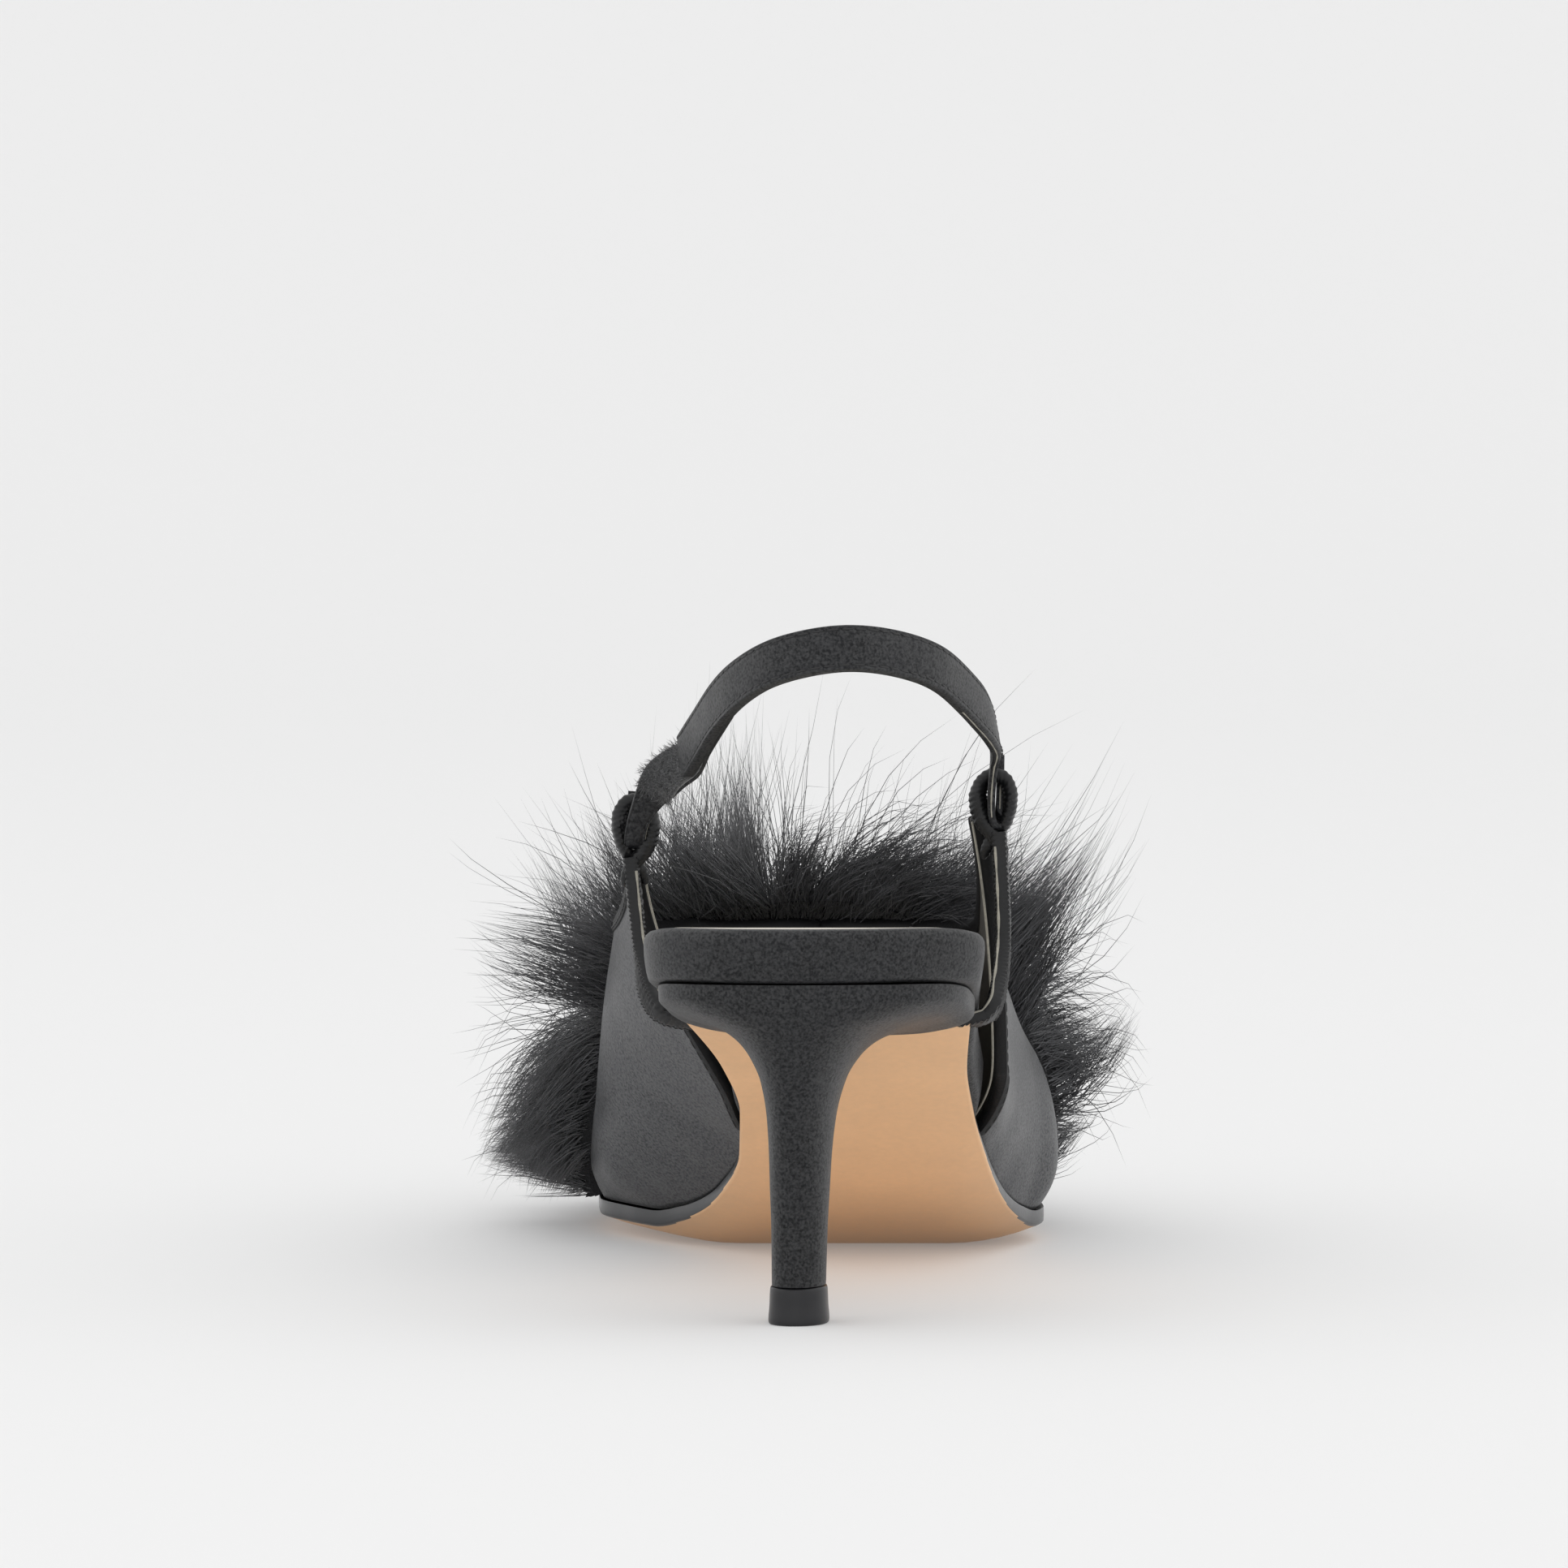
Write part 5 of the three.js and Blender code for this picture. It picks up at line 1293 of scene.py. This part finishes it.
class SHOE_OT_straps(bpy.types.Operator):
    """The stays with their loops, the sling strap and its closure."""

    bl_idname = "shoe.straps"
    bl_label = "Straps"

    def execute(self, context):
        """Makes the stays, the loops, the sling strap, the closure tab and the pile."""
        sizes = context.scene.shoe_sizes
        strap, tab, middle = sling_route()
        faces, tab_faces = sling_faces(strap, middle, edge_on), sling_faces(tab, middle, face_on)
        width, thickness = sizes.strap_width, sizes.strap_thickness

        def strap_width(share):
            return mix(STRAP_NECK, width, smoothstep(share, 0.10, 0.30))

        def strap_depth(share):
            return mix(STRAP_NECK_DEPTH, thickness, smoothstep(share, 0.12, 0.26))

        bm = band_bmesh(strap, faces, strap_width, strap_depth, STRAP_SECTION, 240, 0.0, STRAP_END)
        add_piece(bm, "sling_satin", [finishes["satin"]], ["sling_strap"], sharp=40)
        for sign, label in ((-1, "lower"), (1, "upper")):
            share = np.linspace(0.17, STRAP_END - 0.006, 300)
            centre, _, face, across = band_frame(strap, share, faces(share))
            out = sign * STITCH_ROW * strap_width(share) / 2
            line = centre + across * out[:, None] + face * thickness * 0.46
            add_piece(stitches_bmesh(line, face, sizes.stitch_length, STITCH_GAP, 0.4 * MM),
                      f"sling_stitching_{label}", [finishes["thread"]])
        for label, reach in (("fold", (0.022, 0.06)), ("run", (0.088, 0.36))):
            add_piece(edge_bead(strap, faces, strap_width, -1, BEAD, *reach), f"sling_raw_edge_{label}",
                      [finishes["raw_edge"]])
        bm = band_bmesh(strap, faces, lambda s: strap_width(s) * 0.97, thickness * 0.8, STRAP_SECTION, 2,
                        STRAP_END - 0.001, STRAP_END + 0.0015)
        add_piece(bm, "sling_cut_end", [finishes["raw_edge"]])
        tab_shift = -(thickness / 2 + 0.95 * MM)

        def tab_width(share):
            return mix(mix(0.6, 0.92, smoothstep(share, 0.32, 0.44)) * width, TAB_NECK,
                       smoothstep(share, 0.52, 0.76))

        def tab_offset(share):
            return tab_shift * (1 - smoothstep(share, 0.40, 0.58))

        bm = band_bmesh(tab, tab_faces, tab_width, 1.0 * MM, STRAP_SECTION, 170, 0.0, 1.0, tab_offset)
        add_piece(bm, "closure_satin", [finishes["satin"]], ["closure_tab"], sharp=40)
        add_piece(edge_bead(tab, tab_faces, tab_width, -1, BEAD, 0.56, 0.83, tab_offset), "closure_raw_edge",
                  [finishes["raw_edge"]])

        def pile_offset(share):
            return tab_offset(share) + mix(0.55, 1.0, smoothstep(share, 0.38, 0.46)) * MM

        bm = band_bmesh(tab, tab_faces, lambda s: tab_width(s) * 0.99, 0.9 * MM, STRAP_SECTION, 140,
                        PILE_START, PILE_END, pile_offset)
        add_piece(bm, "closure_pile", [finishes["pile"]], ["pile_patch"], sharp=60)
        rng = np.random.default_rng(FIBRE_SEED)
        share = rng.uniform(0.37, PILE_END + 0.006, FIBRES)
        centre, _, face, across = band_frame(tab, share, tab_faces(share))
        flat = rng.uniform(-1.03, 1.03, len(share))
        roots = (centre + across * (flat * tab_width(share) / 2)[:, None]
                 + face * (pile_offset(share) + 0.35 * MM)[:, None])
        way = unit(face + across * flat[:, None] ** 3 + rng.normal(0, 0.6, (len(share), 3)))
        curl = rng.normal(0, 0.5, (len(share), 3))
        s = np.linspace(0, 1, 3)[None, :, None]
        reach = rng.uniform(0.5, 1.25, len(share)) * MM
        fibres = roots[:, None] + reach[:, None, None] * (way[:, None] * s + curl[:, None] * s ** 2)
        add_mesh(tubes_mesh("closure_fibres", fibres, np.full(FIBRES, FIBRE_WIDTH)), "closure_fibres",
                 [finishes["pile"]])
        for side, label in ((-1, "inner"), (1, "outer")):
            centre, _ = loop_place(side)
            bm = loop_bmesh(centre, side)
            stay_route, stay_faces = stay_parts(side)

            def stay_width(share):
                low, high = (4.4 * MM, 6.0 * MM) if side < 0 else (6.6 * MM, 6.6 * MM)
                return mix(mix(low, high, smoothstep(share, 0.25, 0.5)), 4.6 * MM, smoothstep(share, 0.7, 1))

            strip = band_bmesh(stay_route, stay_faces, stay_width, 2.3 * MM, STRAP_SECTION, 320,
                               ribs=0.13 * MM)
            add_piece(join(bm, strip), f"{label}_stay_ribbed", [finishes["ribbed"]],
                      [f"{label}_stay"], sharp=50)
            for sign, edge in ((-1, "front"), (1, "back")):
                add_piece(edge_bead(stay_route, stay_faces, stay_width, sign, 0.2, 0.02, 0.94,
                                    lambda s: 0 * s - 0.75 * MM),
                          f"{label}_stay_raw_edge_{edge}", [finishes["raw_edge"]])
        return {"FINISHED"}


# Fur

FUR_BACK, FUR_FRONT = 0.535, 0.905     # the fur's ends, as shares of the shoe's length
FLOOR_GAP = 2.6 * MM
LOW_BACK = {-1: 0.680, 1: 0.705}        # where the fur starts low on the inner and the outer side
BACK_RISE = {-1: (0.15, 0.75), 1: (0.3, 0.88)}   # the turns between which it moves back to the throat
# How thickly the hair stands low down, and between which turns it thickens
SIDE_SPARSE = {-1: (0.62, 0.12, 0.50), 1: (0.12, 0.3, 0.8)}
SIDE_COUNT = {-1: 0.47, 1: 0.41}        # each side's share of the hairs
# Where the hair starts to curl in and where its reach ends, in millimetres
SIDE_LIMITS = ((-48, -65.5), (46, 70))


def fur_start(turn, side):
    """The place along the shoe where the fur starts: far back at the throat, further on low down."""
    return mix(LOW_BACK[side], FUR_BACK, smoothstep(turn, *BACK_RISE[side]))


def fur_roots(rng, count):
    """Root points spread over both sides of the vamp, with their outward directions."""
    points, normals, places = [], [], []
    for side in (-1, 1):
        y = along_foot(rng.uniform(FUR_BACK, FUR_FRONT, count * 3))
        turn = rng.uniform(0.04, 1, count * 3)
        # Thins them where the sections are short, so that they stand evenly over the area
        girth = upper_point(y, np.full(len(y), 1.0), side)[:, 2] / INSTEP_HEIGHT
        low_back = share_at(y) < fur_start(turn, side)
        least, low_turn, high_turn = SIDE_SPARSE[side]
        sparse = mix(least, 1, smoothstep(turn, low_turn, high_turn))
        keep = (rng.uniform(0, 1, len(y)) < np.clip(girth, 0.35, 1) * sparse) & ~low_back
        most = int(count * SIDE_COUNT[side])
        y, turn = y[keep][:most], turn[keep][:most]
        points.append(upper_point(y, turn, side))
        normals.append(upper_normal(y, turn, side))
        places.append(np.stack([y, turn, np.full(len(y), side)], axis=-1))
    return np.concatenate(points), np.concatenate(normals), np.concatenate(places)


def hair_curves(rng, roots, normals, places, length, spread, droop, sides, knots, fan=1.0):
    """The curves of hairs: out from the skin, fanned and swirled, then bent and sagging."""
    count = len(roots)
    along = smoothstep(share_at(places[:, 0]), FUR_BACK, FUR_FRONT)
    top = smoothstep(places[:, 1], 0.45, 0.85)
    low = 1 - smoothstep(places[:, 1], 0.1, 0.75)
    throat = (1 - smoothstep(along, 0.0, 0.12)) * top
    lean = np.stack([np.zeros(count), mix(mix(0.5, -0.2, top), 0.75, along) - 0.9 * throat,
                     -0.85 * low * smoothstep(roots[:, 2], 10 * MM, 28 * MM)], axis=-1)
    x, y, z = (roots * 1000).T
    swirl = np.stack([np.sin(y * 0.21 + z * 0.13), np.sin(x * 0.17 + z * 0.19 + 1),
                      np.sin(x * 0.15 + y * 0.16 + 2)], axis=-1)
    way = unit(normals + lean + 0.22 * swirl + rng.normal(0, spread * fan, (count, 3)))
    on_top = np.clip(way[:, 2], 0, 1)
    side_share = np.where(places[:, 2] < 0, sides[0], sides[1])
    reach = length * rng.uniform(0.55, 1.15, count) * mix(side_share, 1, on_top ** 1.2) * mix(1, 0.8, along)
    bend = rng.normal(0, 0.20, (count, 3)) + 0.15 * swirl[:, [1, 2, 0]]
    s = np.linspace(0, 1, knots)[None, :, None]
    sag = np.stack([np.zeros(count), np.zeros(count), -(droop * mix(2.4, 0.3, on_top))], axis=-1)
    curve = roots[:, None, :] + reach[:, None, None] * (
        way[:, None, :] * s + (bend[:, None, :] + sag[:, None, :]) * s ** 2)
    # Hairs that would reach the floor end above it, each at its own height
    clear = rng.uniform(3.5, 15, count) * MM
    drop = roots[:, 2] - curve[:, -1, 2]
    room = np.maximum(roots[:, 2] - clear, 0.3 * drop)
    short = np.where((curve[:, -1, 2] < clear) & (drop > 0), np.clip(room / np.maximum(drop, 1e-6), 0, 1), 1)
    return roots[:, None, :] + (curve - roots[:, None, :]) * short[:, None, None]


def curled_in(curve):
    """Hairs that would stand out too far curl back, so that the fur keeps its outline."""
    out = curve.copy()
    for start, end in np.array(SIDE_LIMITS) * MM:
        way, room = math.copysign(1, end), abs(end - start)
        past = np.maximum(0, (curve[..., 0] - start) * way)
        out[..., 0] = np.where(past > 0, start + way * room * (1 - np.exp(-past / room)), out[..., 0])
    return out


def clumped(rng, curve, guides, strength):
    """Draws hairs to the nearest guide towards their tips."""
    roots, guide_roots = curve[:, 0], guides[:, 0]
    nearest = np.empty(len(roots), int)
    for start in range(0, len(roots), 2000):
        part = roots[start:start + 2000]
        nearest[start:start + 2000] = np.linalg.norm(part[:, None] - guide_roots[None], axis=2).argmin(1)
    s = np.linspace(0, 1, curve.shape[1])[None, :, None]
    pull = strength * rng.uniform(0.78, 1.0, (len(roots), 1, 1)) * s ** 0.95
    return curve + (guides[nearest] - curve) * pull


def tubes_mesh(name, curve, width, sides=3):
    """One mesh of tapered hairs, each closed at its root and drawn to a point at its tip."""
    count, knots = curve.shape[:2]
    # Near the floor a hair bends level
    floor, height = FLOOR_GAP, curve[..., 2]
    level = floor + floor * np.exp((height - 2 * floor) / (8 * MM))
    curve = curve.copy()
    curve[..., 2] = np.where(height < floor * 2, level, height)
    run = unit(np.gradient(curve, axis=1))
    across = unit(np.cross(run, np.array([0.13, 0.9, 0.42])))
    third = np.cross(run, across)
    s = np.linspace(0, 1, knots)
    swell = 0.55 + 0.45 * np.sin(np.clip(s * 1.8, 0, 1) * math.pi / 2)
    radius = (width / 2)[:, None] * swell * (1 - s ** 2.2)
    angles = np.arange(sides) * 2 * math.pi / sides
    ring = knots - 1
    body = (curve[:, :ring, None, :]
            + across[:, :ring, None, :] * (np.cos(angles) * radius[:, :ring, None])[..., None]
            + third[:, :ring, None, :] * (np.sin(angles) * radius[:, :ring, None])[..., None])
    verts = np.concatenate([body.reshape(count, ring * sides, 3), curve[:, -1:, :]], axis=1)
    per = ring * sides + 1
    quads, tris = [], []
    for r in range(ring - 1):
        for k in range(sides):
            j = (k + 1) % sides
            quads.append((r * sides + k, r * sides + j, (r + 1) * sides + j, (r + 1) * sides + k))
    for k in range(sides):
        tris.append(((ring - 1) * sides + k, (ring - 1) * sides + (k + 1) % sides, per - 1))
    tris.append(tuple(range(sides - 1, -1, -1)))
    base = (np.arange(count) * per)[:, None, None]
    quads = (np.array(quads)[None] + base).reshape(-1, 4)
    tris = (np.array(tris)[None] + base).reshape(-1, 3)
    mesh = bpy.data.meshes.new(name)
    mesh.vertices.add(count * per)
    mesh.vertices.foreach_set("co", verts.reshape(-1).astype(np.float32))
    corners = np.concatenate([quads.reshape(-1), tris.reshape(-1)])
    mesh.loops.add(len(corners))
    mesh.loops.foreach_set("vertex_index", corners.astype(np.int32))
    starts = np.concatenate([np.arange(len(quads)) * 4, len(quads) * 4 + np.arange(len(tris)) * 3])
    mesh.polygons.add(len(starts))
    mesh.polygons.foreach_set("loop_start", starts.astype(np.int32))
    mesh.update(calc_edges=True)
    mesh.validate()
    return mesh


TUFTS, LOCKS = 90, 520      # large tufts, and the small locks that make them up
TUFT_SEED = 7
# Lengths and widths are shares of the long hair's. sides: how long it stands out on the inner and outer side
FUR_LAYERS = table("name seed count length width spread droop sides clump knots", [
    ("fur_under_a", 11, 0.92, 0.52, 2.6, 0.26, 0.08, (0.64, 0.34), 0.74, 4),
    ("fur_under_b", 12, 1.00, 0.66, 2.0, 0.24, 0.10, (0.70, 0.38), 0.84, 4),
    ("fur_middle_a", 13, 0.98, 0.80, 1.5, 0.22, 0.14, (0.76, 0.48), 0.92, 5),
    ("fur_middle_b", 14, 0.84, 0.98, 1.25, 0.24, 0.18, (0.80, 0.62), 0.88, 5),
    ("fur_guard", 15, 0.30, 1.24, 1.15, 0.32, 0.22, (0.74, 0.72), 0.5, 6),
])


PELT_DEPTH = 3.2 * MM


def pelt_bmesh():
    """The close dark pelt under the hairs."""
    whole = None
    for side in (-1, 1):
        def place(u, w, side=side):
            turn = mix(0.02, 1, u)
            y = along_foot(mix(fur_start(turn, side), FUR_FRONT, w))
            edge = np.minimum(1, np.minimum(w, 1 - w) * 14) ** 0.5
            rough = 0.75 + 0.25 * np.sin(y * 2100 + turn * 31) * np.sin(turn * 53 - y * 900)
            deep = (PELT_DEPTH * edge * rough)[:, None]
            return upper_point(y, turn, side) + upper_normal(y, turn, side) * deep

        bm = sheet(place, 60, 110, (0.07, 0.1))
        whole = bm if whole is None else join(whole, bm)
    bmesh.ops.remove_doubles(whole, verts=whole.verts, dist=0.02 * MM)
    bmesh.ops.recalc_face_normals(whole, faces=whole.faces)
    return whole


class SHOE_OT_fur(bpy.types.Operator):
    """The long hair over the vamp."""

    bl_idname = "shoe.fur"
    bl_label = "Fur"

    def execute(self, context):
        """Makes the pelt and its layers of hair."""
        sizes = context.scene.shoe_sizes
        add_piece(pelt_bmesh(), "fur_pelt", [finishes["under_fur"]], ["fur_vamp"])
        for layer in FUR_LAYERS:
            rng = np.random.default_rng(layer["seed"])
            shape = (sizes.hair_length * layer["length"], layer["spread"], layer["droop"], layer["sides"],
                     layer["knots"])
            shaped = np.random.default_rng(TUFT_SEED)
            tufts = hair_curves(shaped, *fur_roots(shaped, TUFTS), *shape, fan=2.0)
            lock_roots = fur_roots(shaped, LOCKS)
            locks = hair_curves(shaped, *lock_roots, *shape)
            # The tufts part more on the sides than over the instep
            held = mix(0.88, 0.62, smoothstep(lock_roots[2][:, 1], 0.45, 0.8))[:, None, None]
            locks = clumped(shaped, locks, tufts, held)
            curve = hair_curves(rng, *fur_roots(rng, int(sizes.hair_count * layer["count"])), *shape)
            curve = curled_in(clumped(rng, curve, locks, layer["clump"]))
            width = sizes.hair_width * layer["width"] * rng.uniform(0.6, 1.15, len(curve))
            mesh = tubes_mesh(layer["name"], curve, width)
            add_mesh(mesh, layer["name"], [finishes["fur"]])
        return {"FINISHED"}


# Stage

CAMERA_LENS, CAMERA_SENSOR = 304.5, 36                    # in millimetres
CAMERA_PLACE = (-2.4 * MM, -2155 * MM, 237 * MM)
CAMERA_PITCH = 3.95                                       # degrees down
PAPER_WIDTH, PAPER_START, PAPER_REACH = 10.0, -3.0, 6.0   # the backdrop before it's bent up
BEND_START, BEND = 1.6, 1.2                               # where the backdrop bends up, and its radius
PAPER_TONE, PAPER_GLOW, WORLD_LIGHT = 0.68, 0.16, 1.04
LIGHTS = table("name place aim size power", [
    ("Overhead", (0.0, 0.1, 1.3), (0, 0.08, 0), (1.6, 1.6), 0.7),
    ("Left panel", (-1.1, -0.5, 0.8), (0, 0.08, 0.05), (0.7, 1.1), 0.9),
    ("Right panel", (1.2, -0.3, 0.7), (0, 0.08, 0.05), (0.7, 1.1), 0.7),
    ("Fill", (0.1, -1.9, 0.5), (0, 0.05, 0.04), (1.0, 0.8), 0.5),
])


def area_light(name, place, aim, size, power):
    """A white soft light aimed at a point."""
    data = bpy.data.lights.new(name, "AREA")
    data.shape = "RECTANGLE"
    data.size, data.size_y = size
    data.energy = power
    light = bpy.data.objects.new(name, data)
    light.location = place
    light.rotation_euler = (Vector(aim) - Vector(place)).to_track_quat("-Z", "Y").to_euler()
    bpy.context.scene.collection.objects.link(light)


class SHOE_OT_stage(bpy.types.Operator):
    """The pale floor, the lights and the camera."""

    bl_idname = "shoe.stage"
    bl_label = "Stage"

    def execute(self, context):
        """Makes the floor, the lights and the camera."""
        scene = context.scene
        bm = bmesh.new()
        bmesh.ops.create_grid(bm, x_segments=1, y_segments=60, size=1.0)
        for vert in bm.verts:
            y = mix(PAPER_START, PAPER_REACH, (vert.co.y + 1) / 2)
            rise = max(0.0, y - BEND_START)
            z = BEND - math.sqrt(max(0, BEND ** 2 - min(rise, BEND) ** 2)) + max(0, rise - BEND)
            vert.co = Vector((vert.co.x * PAPER_WIDTH / 2, min(y, BEND_START + BEND), z))
        mesh = bpy.data.meshes.new("backdrop")
        bm.to_mesh(mesh)
        bm.free()
        mesh.shade_smooth()
        floor = bpy.data.objects.new("backdrop", mesh)
        scene.collection.objects.link(floor)
        paper = bpy.data.materials.new("Pale backdrop")
        paper.use_nodes = True
        shader = paper.node_tree.nodes["Principled BSDF"]
        shader.inputs["Base Color"].default_value = (PAPER_TONE, PAPER_TONE, PAPER_TONE, 1)
        shader.inputs["Emission Color"].default_value = (1, 1, 1, 1)
        shader.inputs["Emission Strength"].default_value = PAPER_GLOW
        shader.inputs["Roughness"].default_value = 0.9
        shader.inputs["Specular IOR Level"].default_value = 0.1
        mesh.materials.append(paper)

        world = bpy.data.worlds.new("Studio")
        scene.world = world
        world.use_nodes = True
        world.node_tree.nodes["Background"].inputs["Color"].default_value = (1, 1, 1, 1)
        world.node_tree.nodes["Background"].inputs["Strength"].default_value = WORLD_LIGHT
        for light in LIGHTS:
            area_light(**light)

        camera = bpy.data.cameras.new("Camera")
        camera.lens = CAMERA_LENS
        camera.sensor_width = CAMERA_SENSOR
        camera.clip_end = 50
        seen = bpy.data.objects.new("Camera", camera)
        seen.location = CAMERA_PLACE
        seen.rotation_euler = (math.radians(90 - CAMERA_PITCH), 0, 0)
        scene.collection.objects.link(seen)
        scene.camera = seen
        scene.view_settings.view_transform = "Standard"
        return {"FINISHED"}


class SHOE_PT_panel(bpy.types.Panel):
    """Lists the pieces, the sizes and the colours."""

    bl_idname = "SHOE_PT_panel"
    bl_label = "Slingback pump"
    bl_space_type = "VIEW_3D"
    bl_region_type = "UI"
    bl_category = "Shoe"

    def draw(self, context):
        """Shows a button for each operator and a field for each property."""
        for kind in OPERATORS:
            self.layout.operator(kind.bl_idname)
        for group in (context.scene.shoe_sizes, context.scene.shoe_colours):
            for name in group.__annotations__:
                self.layout.prop(group, name)


OPERATORS = (SHOE_OT_sole, SHOE_OT_insole, SHOE_OT_heel, SHOE_OT_upper, SHOE_OT_straps, SHOE_OT_fur,
             SHOE_OT_stage)


def register():
    """Adds the operators, the panel and the scene's properties."""
    for kind in (ShoeSizes, ShoeColours, *OPERATORS, SHOE_PT_panel):
        bpy.utils.register_class(kind)
    bpy.types.Scene.shoe_sizes = bpy.props.PointerProperty(type=ShoeSizes)
    bpy.types.Scene.shoe_colours = bpy.props.PointerProperty(type=ShoeColours)


def unregister():
    """Takes them away again."""
    del bpy.types.Scene.shoe_sizes
    del bpy.types.Scene.shoe_colours
    for kind in reversed((ShoeSizes, ShoeColours, *OPERATORS, SHOE_PT_panel)):
        bpy.utils.unregister_class(kind)


def main():
    """Builds the shoe and its stage."""
    register()
    finishes.update(build_materials(bpy.context.scene.shoe_colours))
    for kind in OPERATORS:
        space, name = kind.bl_idname.split(".")
        getattr(getattr(bpy.ops, space), name)()


if __name__ == "__main__":
    main()
